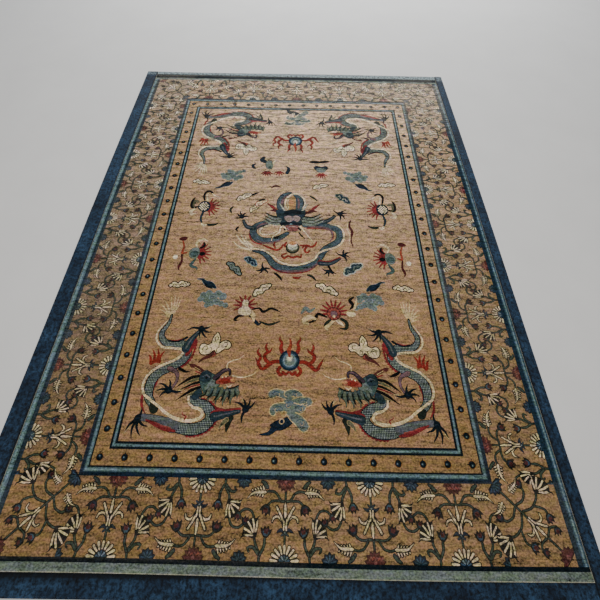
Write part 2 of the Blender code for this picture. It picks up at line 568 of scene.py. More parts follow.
def gourd_emblem():
    """An ivory gourd among red rays, with dark ribbons that trail to the right."""
    out = Pattern(bold=1.35)
    rays(out, 0, 0, 95, 26, 68, 9, 220)
    out.line([(-4, -62), (-34, -66), (-54, -88), (-34, -92)], (5, 8, 12, 0), "ink", 1.6)
    out.line(
        [(44, -22), (84, -14), (110, -36), (150, -14), (178, -20), (214, -38)], (4, 8, 11, 9, 8, 0), "ink",
        1
    )
    out.line([(30, -58), (64, -90), (86, -112), (104, -96)], (6, 9, 13, 0), "navy", 1.5)
    out.line([(90, -92), (140, -112), (190, -100), (216, -88)], (3, 10, 9, 0), "moss", 0.8)
    out.line([(30, -34), (52, -58), (58, -92)], (22, 22, 8), "cream", 1.6, "brown")
    out.blob(
        [(-30, -52), (-34, -20), (-14, -4), (-16, 24), (0, 40), (18, 26), (16, -2), (36, -24), (30, -56)],
        "ivory", 3, "mauve"
    )
    out.line([(-12, -2), (14, -2)], 2.5, "mauve")
    out.line([(0, 36), (4, 62)], (5, 3), "rose")
    return out


def flower_emblem():
    """A round wine-red flower under red rays, with ivory and dark ribbons on both sides."""
    out = Pattern(bold=1.35)
    rays(out, 0, 6, 90, 42, 80, 10, 200)
    out.line([(-42, -22), (-92, -4), (-112, -40), (-150, -62)], (5, 10, 12, 0), "ink", 1.6)
    out.line([(-108, -34), (-148, -24), (-176, -50), (-150, -64)], (10, 22, 24, 8), "cream", 1.8, "brown")
    out.line([(-110, 34), (-140, 12), (-166, 30), (-190, -2)], (4, 14, 18, 6), "haze", 1, "blue")
    out.line([(40, -30), (72, -54), (66, -88), (30, -86)], (8, 14, 12, 0), "moss", 1.6)
    out.line([(10, -34), (-20, -52), (-48, -84), (-40, -98)], (12, 20, 24, 8), "cream", 2, "brown")
    out.line([(-22, -40), (-48, -60), (-58, -76)], (8, 12, 4), "moss", 1)
    out.line([(16, -40), (44, -62), (56, -74)], (14, 14, 4), "ivory", 1.5, "brown")
    out.line([(124, 108), (98, 84), (116, 54), (96, 28)], (4, 14, 14, 3), "ink", 1)
    out.line([(140, 104), (132, 60), (112, 10)], (3, 12, 4), "cream", 1, "brown")
    out.blob([(76, 10), (96, 14), (124, 8), (128, -10), (100, -18), (78, -8)], "ivory", 2, "gold")
    out.disc(0, 0, 42, "wine", corners=18)
    for k in range(10):
        out.disc(*polar(36 * k, 27, 27), 10, "rose", 1.5, "wine")
    out.disc(0, -2, 20, "mauve", 2, "wine")
    out.disc(0, -16, 9, "cream")
    return out

# %% tassels
def tassel_emblem(single):
    """A dark knob over red tassels, as the emblems nearer the far end have."""
    out = Pattern(bold=1.35)
    rays(out, 0, -46, -90, 12, 52, 6, 110)
    if single:
        out.blob([(-92, 62), (-60, 80), (-14, 76), (40, 84), (66, 70), (20, 58), (-40, 52)], "ink", 1)
        out.blob([(-54, 4), (-40, 26), (0, 16), (38, 26), (50, 2), (30, -18), (-32, -18)], "navy", 2)
        out.blob([(-40, -8), (0, 6), (38, -8), (20, -38), (-20, -38)], "haze", 1.5)
    else:
        out.line([(-30, 96), (-46, 70), (-20, 50), (8, 34)], (14, 26, 22, 14), "navy", 1.6)
        out.blob([(-8, 52), (24, 60), (42, 20), (36, -20), (6, -26), (-14, 10)], "haze", 1.6)
        out.line([(44, 30), (60, 62), (84, 48)], (10, 14, 0), "cream", 1.4, "brown")
        out.disc(20, -8, 9, "teal", 2)
        rays(out, 92, -46, -90, 8, 46, 5, 110)
        out.line([(-92, 26), (-110, 8), (-96, -20), (-74, -14)], (6, 16, 12, 0), "navy", 1.4)
        out.line([(150, -64), (162, -20), (136, 8)], (20, 16, 0), "navy", 1.4)
    return out

# %% the emblems at the sides
def side_emblem(upper):
    """A knob with red rays towards the middle of the rug, and ribbons above, below and behind it."""
    out = Pattern(bold=1.35)
    rays(out, 14, 0, 0, 10, 80, 8, 150)
    out.blob([(16, 44), (44, 30), (58, 2), (48, -26), (18, -46), (4, 0)], "crimson", 1.5, "wine")
    if upper:
        out.line(
            [(-20, 60), (-30, 96), (-22, 132), (4, 144), (26, 128), (30, 110)], (8, 9, 12, 13, 10, 3),
            "ink", 1
        )
        out.line([(0, 56), (-6, 84), (-12, 104), (0, 122)], (9, 10, 8, 4), "cream", 1, "brown")
        out.line([(24, 122), (48, 100), (70, 94), (104, 92)], (5, 9, 7, 0), "cream", 2, "brown")
        out.line([(-60, -2), (-94, -8), (-104, 26), (-100, 64), (-88, 86)], (8, 14, 16, 12, 0), "ink", 1.2)
        out.line([(-62, 44), (-84, 52), (-90, 10), (-78, -14)], (12, 16, 10, 4), "sage", 1)
        out.line([(-76, -20), (-100, -44), (-88, -66), (-62, -56)], (8, 18, 18, 6), "cream", 1.8, "brown")
        out.line([(-14, -44), (-24, -96), (-12, -134)], (8, 11, 8), "slate", 1.5)
        out.line([(20, -146), (52, -152), (86, -146), (102, -132)], (6, 14, 12, 0), "moss", 1.5)
        out.line([(-8, -146), (4, -158), (20, -152)], (12, 16, 8), "ivory", 2, "gold")
        out.blob(
            [(-50, 26), (-26, 50), (10, 42), (26, 6), (16, -34), (-14, -46), (-44, -26), (-56, -2)], "navy",
            2
        )
        out.blob(
            [(-44, 22), (-22, 42), (6, 36), (18, 6), (10, -28), (-14, -38), (-38, -22), (-48, -2)], "navy"
        )
        for i in range(-3, 4):
            for j in range(-3, 4):
                if (i + j) % 2 == 0 and abs(i) + abs(j) < 5:
                    out.area(
                        "ivory", [polar(a, 6.5, 7, -17 + 9 * i, 4 + 10 * j) for a in (-90, 0, 90, 180, 270)]
                    )
    else:
        out.line(
            [(4, 36), (-14, 70), (6, 96), (34, 104), (58, 88)], (6, 10, 14, 12, 4), "cream", 1.6, "brown"
        )
        out.line([(22, 38), (42, 58), (34, 82)], (8, 12, 4), "ink", 1)
        out.line([(-66, 0), (-92, -4), (-88, 44), (-104, 92)], (8, 10, 7, 5), "brick", 1, "wine")
        out.blob([(-132, 104), (-110, 92), (-84, 96), (-78, 116), (-104, 122)], "wine", 1)
        out.line([(-92, -16), (-84, -64), (-96, -108), (-86, -130)], (7, 8, 13, 0), "wine", 1)
        out.disc(-130, -34, 16, "pearl", 1.5, "gold")
        out.line([(2, -44), (-22, -92), (20, -112), (16, -130)], (5, 16, 13, 0), "teal", 1.2)
        out.blob([(-44, 16), (-22, 38), (10, 34), (18, -6), (2, -40), (-30, -38), (-48, -12)], "haze", 1.6)
        out.blob([(-36, 2), (-18, 14), (6, 6), (4, -22), (-22, -28), (-38, -14)], "teal", 2)
        out.blob([(22, 4), (44, 8), (56, -8), (40, -22), (20, -16)], "ink")
    return out


tell("gourd emblem", gourd_emblem())
tell("flower emblem", flower_emblem())
# %% [markdown]
# # Dragons
#
# A dragon coils in each corner of the field and one faces out of the middle.  Its body is a ribbon of
# `scaly` yarn, which the pile material turns into small light diamonds; it has an ivory belly along one
# edge and a crimson fin along the other.  The four corner dragons are one drawing, turned
# over from side to side and from end to end.

# %% bodies, claws and tails
def fin(out, points, height=9, pitch=16):
    """A low fin of rounded teeth standing to the left of a line."""
    line = smooth(points, step=pitch / 3)
    edge = shifted(line, height)
    out.line(points, 8, "crimson", 1.0, "wine")
    for i in range(0, len(line) - 3, 3):
        out.area("crimson", [line[i], edge[i + 1], edge[i + 2], line[i + 3]])


def body(out, points, widths, yarn="scaly"):
    """A scaly ribbon in a navy outline."""
    line = smooth(points, step=6)
    out.area("deep", ribbon(line, widths, 2.0))
    out.area(yarn, ribbon(line, widths, -2.5))


def belly(out, points, widths):
    """The plated ivory belly along one edge of a body."""
    line = smooth(points, step=7)
    out.area("brown", ribbon(line, widths, 1.4))
    out.area("ivory", ribbon(line, widths))
    edge_in, edge_out = shifted(line, 4.5), shifted(line, -4.5)
    for i in range(2, len(line) - 1, 2):
        out.area("gold", ribbon([edge_in[i], edge_out[i]], (1.6, 1.6)))


def claw(out, palm, tips, r=18, nails=()):
    """A paw with hooked talons; the talons named in `nails` end in ivory."""
    px, py = palm
    for k, (x, y) in enumerate(tips):
        dx, dy = x - px, y - py
        size = hypot(dx, dy) or 1.0
        knee = (px + 0.55 * dx - 0.12 * dy, py + 0.55 * dy + 0.12 * dx)
        out.line([(px, py), knee, (x, y)], (17, 12.5, 3), "deep", step=8)
        if k in nails:
            nail = [(px + 0.62 * dx, py + 0.62 * dy), (px + 1.12 * dx, py + 1.12 * dy)]
            out.line(nail, (5, 1.5), "cream", 0.7, "deep")
    out.disc(px, py, r, "deep")
    for k in range(3):
        out.disc(px - 7 + 7 * k, py - 2 + 3 * (k % 2), 3.0, "navy")


def limb(out, points, widths, finned=True):
    """An arm or a leg, grey-blue with a crimson edge and a thin paler line along it."""
    if finned:
        out.line([(x, y + 9) for x, y in points], widths, "crimson", 1.2, "wine")
    out.line(points, widths, "slate", 1.5, "deep")
    out.line([(x, y + 2) for x, y in points], [w * 0.22 for w in widths], "dove")


# %% the corner dragon's tail and body
# where the beard of the near right-hand dragon is, from the middle of the rug
BEARD_X, BEARD_Y = 350, -1100


def corner_coils(out):
    """The tail and the two bends of the body."""
    # the tail: ivory strands that fan out from its tip
    for tip, bend in (
        ((302, 600), (312, 544)), ((318, 614), (322, 555)), ((340, 622), (334, 555)),
        ((362, 616), (350, 555))
    ):
        out.line([(336, 488), bend, tip], (11, 10, 0), "cream", 1, "gold")
    for tip, bend in (
        ((402, 592), (366, 540)), ((416, 560), (380, 530)), ((414, 528), (378, 510)),
        ((402, 494), (372, 490))
    ):
        out.line([(342, 478), bend, tip], (11, 10, 0), "cream", 1, "gold")
    # the body, from the neck round the low bend; the coil comes from behind the thigh and runs to the tail
    low = [
        (156, 56), (120, 30), (70, 13), (40, -18), (40, -50), (70, -80), (120, -94), (170, -90), (214, -78)
    ]
    high = [
        (324, -10), (340, 16), (366, 48), (374, 92), (368, 134), (340, 173), (298, 197), (256, 220),
        (222, 248), (210, 278), (216, 306), (246, 324), (296, 324), (340, 334), (366, 362), (368, 396),
        (350, 428), (340, 458), (336, 494)
    ]
    fin(out, [(146, -122), (90, -118), (34, -90), (8, -50), (10, -12), (44, 28), (100, 48)])
    fin(out, [(170, 348), (172, 300), (184, 252), (216, 212), (262, 194)][::-1])
    out.line([(350, 164), (340, 128), (350, 90), (346, 50)], (7, 10, 6), "crimson", 1, "gold")
    out.line([(400, 68), (394, 14), (366, -28)], (8, 13, 0), "crimson", 1, "wine")
    body(out, high, (30, 42, 48, 50, 50, 48, 46, 44, 38, 30, 22, 10))
    out.blob([(314, -24), (306, 0), (326, 18), (350, 18), (352, -4), (336, -26)], "moss", 1.5)
    body(out, low, (34, 46, 52, 54, 52, 50))
    out.blob(
        [(186, -56), (240, -46), (302, -36), (366, -30), (400, -34), (392, -58), (350, -64), (290, -82),
        (226, -110), (196, -100)], "dove", 2, "deep"
    )
    out.line([(202, -104), (256, -94), (306, -74), (356, -56)], (8, 20, 18, 6), "crimson", 1, "wine")
    out.line([(226, -90), (270, -80), (318, -62)], (5, 6, 2), "rose")
    out.line([(210, -64), (270, -52), (340, -46)], (4, 7, 3), "haze")
    belly(
        out, [(164, 60), (158, 28), (132, 6), (100, -2), (82, -18), (86, -38), (120, -54), (170, -55),
        (226, -42), (272, -18), (312, 10), (354, 36), (396, 66), (410, 110), (398, 154), (358, 196),
        (310, 220), (262, 244), (234, 274), (242, 294), (290, 302), (350, 308), (388, 340), (396, 384),
        (378, 424), (354, 460)], (10, 14, 17, 14, 12, 13, 14, 14, 13, 11, 5)
    )
    out.line([(166, -50), (160, -38), (182, -26), (178, -12)], (8, 6, 5, 0), "crimson")
    out.line([(226, 364), (254, 348), (290, 338), (340, 348)], (12, 9, 8, 0), "deep", 1)
    out.line([(250, 356), (286, 345), (326, 352)], (4, 5, 0), "crimson")

# %% its limbs and claws
def corner_limbs(out):
    """Arms and legs, each with its claw."""
    limb(out, [(20, -36), (-34, -24), (-104, -8)], (44, 30, 14))
    out.line([(12, 2), (-30, -4), (-80, 0)], (14, 9, 2), "crimson", 1, "wine")
    claw(out, (-134, 2), ((-180, 40), (-154, 52), (-112, 56), (-76, 34), (-120, -60)), nails=(2,))
    out.line([(210, 270), (184, 324), (174, 358)], (20, 26, 6), "crimson", 1, "wine")
    limb(out, [(222, 300), (202, 348), (162, 400)], (44, 32, 16), finned=False)
    claw(out, (155, 416), ((98, 436), (88, 398), (112, 362), (150, 358), (234, 406)), nails=(0, 3))
    claw(out, (398, -50), ((388, 0), (444, -112), (408, -136), (368, -126), (340, -86)), nails=(1,))
    out.line([(290, 194), (248, 174), (238, 136), (256, 96)], (24, 18, 11, 10), "mauve", 2.5, "deep")
    out.line([(236, 194), (198, 178), (178, 182)], (14, 14, 0), "ink", 1)
    claw(out, (270, 84), ((196, 86), (278, 138), (326, 118), (334, 80), (312, 52)), nails=(0,))

# %% its head
def corner_head(out):
    """The mane and the head, looking at the middle of the rug."""
    # the mane, the horns and the ear behind the head
    for points in (
        ((90, 156), (162, 150), (240, 96)), ((90, 134), (150, 116), (210, 90)),
        ((90, 110), (156, 84), (224, 38))
    ):
        out.line(points, (12, 15, 0), "ink", 1)
    for points in (((96, 144), (146, 138), (202, 112)), ((80, 100), (134, 78), (190, 52))):
        out.line(points, (9, 15, 0), "sage", 0.8, "cream")
    out.line([(74, 122), (130, 112), (190, 90), (206, 70)], (8, 9, 8, 0), "crimson", 1.2, "cream")
    out.line([(94, 172), (136, 198), (182, 216), (170, 200)], (11, 15, 15, 3), "maroon", 1.8, "wine")
    out.line([(102, 166), (150, 182)], (7, 7), "crimson")
    out.line([(120, 186), (156, 204)], (3, 3), "cream")
    # the head, in profile, looking at the middle of the rug
    out.blob([(112, 96), (140, 74), (150, 48), (120, 44), (96, 70)], "slate", 1.5)
    out.blob(
        [(28, 156), (54, 170), (90, 188), (118, 170), (120, 136), (102, 96), (78, 64), (50, 78), (26, 96),
        (12, 124)], "teal", 2
    )
    out.blob([(22, 138), (46, 150), (62, 132), (90, 100), (70, 88), (42, 100), (18, 114)], "haze")
    out.blob([(62, 170), (86, 184), (114, 172), (122, 144), (100, 128), (70, 134)], "slate", 2)
    out.line([(68, 150), (86, 164), (106, 154)], (5, 8, 3), "dove")
    out.disc(86, 150, 6, "ink")
    out.line(
        [(42, 150), (24, 166), (2, 186), (-24, 194), (-36, 184), (-34, 168)], (20, 20, 18, 16, 12, 8),
        "plum", 2.5
    )
    out.line([(16, 178), (-10, 193), (-26, 192)], (4, 5, 3), "mauve")
    out.line([(16, 156), (34, 140), (34, 122)], (7, 9, 6), "ink")

# %% its mouth and beard
def corner_mouth(out):
    """The open mouth, the beard and the whiskers."""
    # the open mouth and the beard
    out.line([(-60, 138), (-32, 142), (0, 136), (24, 130)], (20, 34, 38, 20), "rose", 1.5, "brown")
    out.line([(-30, 136), (-8, 136), (12, 134)], (24, 26, 12), "red")
    out.line([(-62, 140), (-50, 142)], (16, 18), "peach")
    out.line([(-50, 116), (-34, 106), (-22, 118)], (6, 8, 5), "ivory", 1, "red")
    out.disc(2, 154, 4.5, "ivory")
    out.disc(-16, 158, 4, "ivory")
    out.blob(
        [(-88, 114), (-60, 104), (-20, 94), (14, 104), (46, 98), (82, 88), (80, 64), (46, 60), (0, 60),
        (-50, 56), (-78, 66)], "teal", 1.5
    )
    for x, y, lean in ((-82, 56, -6), (-54, 28, -2), (-24, 22, 6), (6, 28, 12), (40, 38, 18), (74, 48, 22)):
        out.line(
            [(x - 2 - lean / 2, 100), (x - 6, 76), (x + 4 + lean, y + 12), (x + 2 + lean, y - 8)],
            (12, 18, 11, 0), "beard", 1.6
        )
        out.line([(x + 11 - lean / 2, 88), (x + 9, 66), (x + 18 + lean, y + 6)], (5, 12, 0), "ink")
        out.line([(x + 11 - lean / 2, 82), (x + 9, 66), (x + 15 + lean, y + 18)], (2, 5, 0), "moss")
    out.line([(-88, 116), (-58, 102), (-20, 96)], (5, 8, 4), "ink")
    # the whiskers, and the small leaf under the beard
    out.line(
        [(-16, 202), (-18, 226), (-46, 244), (-74, 250), (-104, 274)], (6, 5.5, 4.5, 1), "ivory", 1, "gold"
    )
    out.line(
        [(-50, 164), (-88, 156), (-124, 160), (-160, 174), (-174, 188)], (6, 5.5, 4.5, 1), "ivory", 1,
        "gold"
    )
    out.line([(-66, -40), (-52, -66), (-48, -104)], (22, 24, 0), "moss", 1.5)
    out.line([(-44, -48), (-24, -66), (-10, -88)], (20, 16, 0), "sage", 1.5, "cream")

# %% the whole corner dragon
def corner_dragon():
    """The dragon of the right-hand corner at the near end, measured from a point under its beard."""
    out = Pattern()
    for part in (corner_coils, corner_limbs, corner_head, corner_mouth):
        part(out)
    # the loose red flame in the hollow of its back
    out.line([(392, 216), (374, 230), (350, 226)], (16, 18, 10), "red")
    for points in (
        ((350, 226), (352, 254), (332, 288)), ((366, 232), (362, 262), (372, 300)),
        ((382, 228), (382, 258), (400, 294)), ((396, 220), (402, 248), (416, 266))
    ):
        out.line(points, (14, 12, 0), "red", 1, "brick")
    return out


tell("corner dragon", corner_dragon())

# %% the middle dragon's tail and body
def middle_coils(out):
    """The tail, and the body from the arch behind the head down to it."""
    for points in (
        ((-262, -150), (-330, -96), (-384, -24)), ((-262, -146), (-318, -84), (-352, -16)),
        ((-250, -142), (-300, -86), (-318, -40)), ((-270, -156), (-350, -128), (-392, -86)),
        ((-266, -158), (-330, -140), (-372, -148))
    ):
        out.line(points, (14, 13, 0), "ivory", 1.5, "gold")
    # the arch of the body behind the head
    out.blob([(-46, 180), (-50, 240), (-34, 286), (2, 300), (12, 240), (6, 180)], "gold")
    out.blob([(-36, 232), (-26, 262), (-6, 264), (2, 240), (-8, 216), (-26, 214)], "peach")
    out.line([(-34, 282), (-42, 240), (-34, 190)], (4, 9, 8), "cream")
    body(
        out, [(-88, 176), (-96, 226), (-88, 276), (-60, 314), (-22, 330)], (44, 50, 46, 36, 16),
        "scaly_blue"
    )
    body(out, [(0, 314), (30, 292), (44, 250), (42, 206), (36, 170)], (12, 42, 54, 54, 44), "scaly_blue")
    out.line([(-76, 190), (-84, 236), (-70, 282), (-38, 312)], (10, 18, 16, 6), "mauve")
    out.line([(28, 286), (36, 246), (34, 196)], (6, 16, 12), "mauve")
    belly(
        out, [(-40, 180), (-58, 216), (-56, 264), (-34, 302), (2, 324), (40, 314), (70, 280), (80, 236),
        (66, 190)], (10, 11, 11, 10)
    )
    # the coil on the left, the great bend on the right, and the back down to the tail
    fin(out, [(196, -190), (150, -262), (90, -304), (0, -318), (-84, -306), (-136, -276)][::-1], 12)
    fin(out, [(-280, 10), (-286, -44), (-256, -92), (-200, -110)], 0.1, 24)
    body(
        out, [(-84, 66), (-140, 70), (-200, 58), (-250, 32), (-266, -10), (-244, -56), (-200, -80),
        (-140, -78), (-86, -56), (-36, -18)], (34, 40, 42, 44, 46, 48, 46, 42, 36, 26), "scaly_blue"
    )
    belly(
        out, [(-84, 44), (-150, 46), (-204, 22), (-222, -6), (-200, -32), (-150, -28), (-108, -6)],
        (10, 11, 11, 9)
    )
    out.line(
        [(96, 24), (160, 28), (232, 20), (262, 0), (270, -44), (240, -84)], (10, 16, 14, 8, 7, 0), "rose",
        1.4, "wine"
    )
    body(
        out, [(76, 48), (140, 52), (206, 46), (262, 38), (304, 8), (314, -42), (292, -86), (246, -116),
        (206, -146), (176, -196), (130, -244), (66, -276), (-6, -288), (-76, -280), (-124, -250),
        (-154, -206), (-196, -174), (-256, -160)],
        (34, 38, 42, 46, 48, 48, 48, 46, 44, 46, 48, 50, 48, 46, 42, 36, 26, 10), "scaly_blue"
    )
    for points in (
        [(96, 38), (160, 38), (214, 30), (252, 10), (264, -36), (246, -76)],
        [(150, -192), (176, -212), (150, -256), (100, -288), (40, -302), (-30, -306), (-90, -296)],
        [(-110, 64), (-170, 64), (-226, 42), (-250, 6)],
        [(-60, -60), (-120, -92), (-190, -98), (-240, -76)],
    ):
        out.line(points, (4, 13, 16, 14, 4), "mauve")
    for points in (
        [(274, 18), (294, -10), (296, -54), (272, -84)], [(120, -262), (60, -286), (-10, -292)],
        [(-236, -30), (-196, -66), (-140, -66)]
    ):
        out.line(points, (3, 14, 12, 3), "teal")
    belly(
        out, [(252, 62), (304, 48), (336, 8), (338, -50), (314, -98), (262, -130), (200, -150), (166, -174),
        (142, -212), (96, -240), (36, -258), (-24, -258), (-80, -236), (-126, -196), (-180, -158),
        (-244, -142), (-296, -122)], (9, 12, 12, 12, 12, 12, 8)
    )

# %% its limbs and claws
def middle_limbs(out):
    """Arms and legs, each with its claw."""
    limb(out, [(-262, 16), (-312, 30), (-338, 78)], (34, 26, 16), finned=False)
    claw(out, (-350, 112), ((-398, 98), (-388, 140), (-362, 164), (-322, 146), (-300, 106)), nails=(2,))
    out.line([(-330, 92), (-312, 74), (-300, 60)], (8, 7, 2), "cream", 1.2)
    limb(out, [(150, 66), (226, 84), (284, 128)], (34, 30, 18), finned=False)
    claw(out, (320, 150), ((276, 184), (366, 180), (374, 150), (352, 108), (316, 92)), nails=(4,))
    limb(out, [(176, -244), (240, -246), (304, -210)], (30, 24, 14))
    claw(out, (330, -184), ((280, -160), (336, -138), (376, -158), (368, -196), (344, -232)), r=14)
    claw(out, (-182, -292), ((-182, -240), (-224, -304), (-206, -326), (-146, -322), (-136, -292)), r=14)
    out.line([(230, -262), (250, -300), (276, -318)], (14, 12, 2), "ink", 1)
    claw(out, (226, -298), ((190, -280), (196, -322), (226, -336), (262, -326)), r=12)

# %% its horns and mane
def middle_mane(out):
    """Horns and mane, alike on both sides."""
    half = Pattern()
    half.line([(82, 150), (112, 168), (146, 200), (184, 232)], (15, 21, 15, 0), "crimson", 3, "wine")
    half.line([(92, 152), (130, 170), (164, 164)], (15, 26, 0), "wine", 1.5)
    half.line([(96, 164), (128, 194)], (4, 3), "peach")
    half.line([(60, 168), (78, 198), (100, 234)], (12, 12, 3), "pale", 1.6, "slate")
    for y, reach in ((122, 196), (98, 204), (74, 214)):
        half.line([(66, y), (120, y - 8), (160, y + 6), (reach, y + 30)], (14, 15, 12, 0), "moss", 1)
    for y, reach in ((110, 186), (86, 200), (62, 206)):
        half.line(
            [(60, y), (110, y - 10), (154, y - 2), (reach, y + 28)],
            (10, 13, 10, 0), "haze", 1.5, "pale"
        )
    out.both(half)

# %% its face
def middle_face(out):
    """A dark brow, two pale patches for the eyes, and the muzzle under a dark bar."""
    out.blob(
        [(-116, 176), (-60, 166), (0, 182), (56, 168), (82, 176), (78, 128), (56, 96), (52, 48), (-84, 46),
        (-76, 96), (-112, 120)], "slate", 1.5
    )
    out.blob([(-58, 166), (-4, 178), (50, 166), (48, 138), (-4, 146), (-60, 138)], "deep")
    out.blob(
        [(-64, 112), (-40, 128), (-8, 122), (20, 130), (46, 116), (44, 92), (26, 74), (0, 90), (-22, 72),
        (-50, 84)], "lilac", 3, "deep"
    )
    out.line([(-4, 124), (-4, 100)], (5, 3), "dove")
    out.line([(-46, 92), (-30, 84)], (5, 5), "mauve")
    out.line([(20, 88), (34, 92)], (5, 5), "mauve")
    out.line([(-84, 56), (-40, 66), (0, 60), (56, 58)], (14, 18, 14, 10), "deep", 1)
    out.disc(-14, 54, 9, "foam")
    out.blob([(-48, 42), (-10, 48), (34, 40), (36, 16), (18, 0), (-30, 0), (-46, 16)], "dusk", 2.5, "mauve")
    out.line([(-38, 32), (-8, 38), (26, 30)], 5, "lilac")
    out.line([(-44, 24), (-30, 10)], (10, 6), "lilac")
    for side in (-1, 1):
        out.line([(side * 42 - 4, 24), (side * 54 - 4, 8)], (14, 12), "deep")
    out.line(
        [(-66, 40), (-84, 24), (-92, -14), (-130, -46), (-140, -80)], (10, 13, 11, 9, 3), "ivory", 2,
        "brown"
    )
    out.line([(-66, 34), (-50, 22), (-44, 2)], (9, 8, 4), "ivory", 1.5, "brown")
    out.line([(48, 40), (70, 8), (96, -30), (134, -84)], (10, 11, 8, 2), "ivory", 1.5, "brown")
    out.line([(-122, -56), (-104, -56), (-92, -40)], (16, 20, 6), "ink")
    out.line([(40, -12), (60, -40), (84, -62)], (10, 12, 0), "moss", 1, "gold")

# %% the pearl below it
def middle_pearl(out):
    """A green pearl in curls of red fire."""
    curls = (
        ((-190, -118), (-150, -134), (-104, -152), (-74, -134), (-62, -108)),
        ((-112, -136), (-122, -112), (-116, -92)),
        ((-40, -92), (-52, -112), (-44, -128)),
        ((50, -112), (92, -116), (78, -148), (94, -168), (112, -150)),
        ((96, -118), (126, -122), (148, -104), (156, -84)),
        ((64, -130), (84, -112), (110, -112)),
        ((-40, -176), (-68, -190), (-52, -212), (-28, -194), (0, -206), (30, -196), (54, -204), (56, -178)),
    )
    for curl in curls:
        out.line(curl, (8, 12, 12, 7), "red", 1.5, "wine")
    out.disc(0, -132, 42, "moss", 3, corners=20)
    out.disc(0, -126, 37, "sage", corners=20)
    out.disc(0, -120, 33, "pale", corners=18)
    out.blob([(-28, -112), (0, -130), (28, -112), (22, -92), (0, -84), (-22, -92)], "pearl")
    out.blob([(-26, -102), (0, -112), (26, -102), (16, -86), (0, -80), (-18, -86)], "peach")
    out.disc(0, -104, 4, "brick")

# %% the whole middle dragon
def middle_dragon():
    """The dragon that looks straight out of the middle of the rug."""
    out = Pattern()
    for part in (middle_coils, middle_limbs, middle_mane, middle_face, middle_pearl):
        part(out)
    return out


tell("middle dragon", middle_dragon())
# %% [markdown]
# # Laying out the field
#
# Everything in the field has its place in millimetres from the middle of the rug.  The corner dragon is
# laid four times; clouds, pearls and emblems fill the spaces between, almost but not quite alike on both
# sides, as they are on the rug.

# %% the field
def field_pattern():
    out, half = Pattern(), Pattern()
    dragon = corner_dragon()
    for flip_x in (1, -1):
        for flip_y in (1, -1):
            out.add(dragon, BEARD_X * flip_x, BEARD_Y * flip_y, flip_x=flip_x, flip_y=flip_y)
    out.add(middle_dragon())
    # pearls and clouds on the middle line, then what stands on both sides of it
    out.add(flaming_pearl(), 0, -850)
    out.add(flaming_pearl(), 0, 870, flip_y=-1)
    out.add(blue_cloud(), 8, -1078, size=1.08)
    out.add(blue_cloud(), 14, 1136, flip_y=-1, size=1.04)
    half.add(head_cloud(), 412, -790)
    half.add(head_cloud(), 384, 790, flip_y=-1)
    half.add(cloud_bank(), 470, -490)
    half.add(cloud_bank(), 462, 486, flip_y=-1)
    out.both(half)
    for side in (-1, 1):
        out.add(small_cloud(), side * 680, -412, turn=side * -6)
        out.add(small_cloud(), side * 676, 420, turn=side * 6)
    for emblem, x, y, flip in (
        (gourd_emblem(), -270, -540, 1),
        (flower_emblem(), 252, -578, 1),
        (tassel_emblem(single=False), -206, 588, 1),
        (tassel_emblem(single=True), 200, 576, 1),
        (side_emblem(upper=True), -606, 190, 1),
        (side_emblem(upper=False), -612, -184, 1),
        (side_emblem(upper=True), 606, 190, -1),
        (side_emblem(upper=False), 614, -200, -1),
    ):
        out.add(emblem, x, y, flip_x=flip)
    # small loose clouds round the middle dragon: yarn, outline, length, curls, place, turn and size
    for yarn, ink, long, curls, x, y, turn, size in (
        ("ivory", "moss", 0.9, None, -178, -436, 38, 1.1),
        ("ivory", "moss", 1.0, None, 214, -424, -24, 1.15),
        ("ivory", "moss", 0.9, None, 190, 396, 18, 1.0),
        ("ivory", "moss", 0.8, None, -352, 286, 32, 1.1),
        ("cream", "moss", 0.9, None, -262, 196, 48, 1.0),
        ("cream", "rose", 0.7, None, -226, 238, 36, 1.0),
        ("navy", "haze", 0.8, "pale", 348, 286, -36, 1.15),
        ("slate", "pale", 0.8, "light", 384, -282, 34, 1.3),
        ("navy", "foam", 0.7, "sky", -262, -240, -34, 1.0),
        ("haze", "ink", 0.9, None, -362, -292, -42, 1.1),
    ):
        out.add(small_cloud(yarn, ink, long, curls), x, y, turn, size=size)
    for points, yarn in (
        ([(-98, 384), (-136, 396), (-160, 380), (-178, 392)], "wine"),
        ([(-110, -318), (-78, -344), (-60, -372)], "ink"),
        ([(96, -326), (126, -338), (150, -366)], "moss"),
        ([(6, -346), (38, -352), (56, -340)], "red"),
        ([(112, 306), (138, 290), (166, 262)], "moss"),
        ([(392, 96), (380, 50), (398, 0), (384, -54), (396, -120)], "wine"),
        ([(-300, 300), (-280, 316), (-250, 330)], "ink"),
        ([(-200, 270), (-226, 262), (-250, 250)], "ink"),
        ([(-366, 26), (-380, 4), (-366, -10)], "ink"),
        ([(-420, 200), (-436, 168), (-424, 140)], "moss"),
    ):
        out.line(points, (6, 15, 12, 3), yarn, 1.4)
    out.line([(376, 84), (366, 30), (380, -30), (370, -96)], (3, 9, 9, 2), "cream", 1, "gold")
    return out


tell("the field", field_pattern())
# %% [markdown]
# # Borders, stripes and pearls
#
# From the field outwards come a fine blue stripe, the guard border with its row of pearls, a second blue
# stripe, the main border with the flower sprigs, and two plain stripes at the very edge.  The sprigs stand
# head to foot by turns.  Along the sides they are squeezed a little and come closer together towards the
# far end, because the rows of knots there were beaten in harder.

# %% the lines of the frame, in millimetres from the middle of the rug
def frame_line(inset):
    """Half the width and half the length of the rug, less an inset from its edge."""
    return RUG_WIDTH * 500 - inset, RUG_LENGTH * 500 - inset


EDGE_IN, BORDER_IN, STRIPE_IN, GUARD_IN = 49.3, 336.0, 377.0, 445.0
FIELD_X, FIELD_Y = frame_line(GUARD_IN)


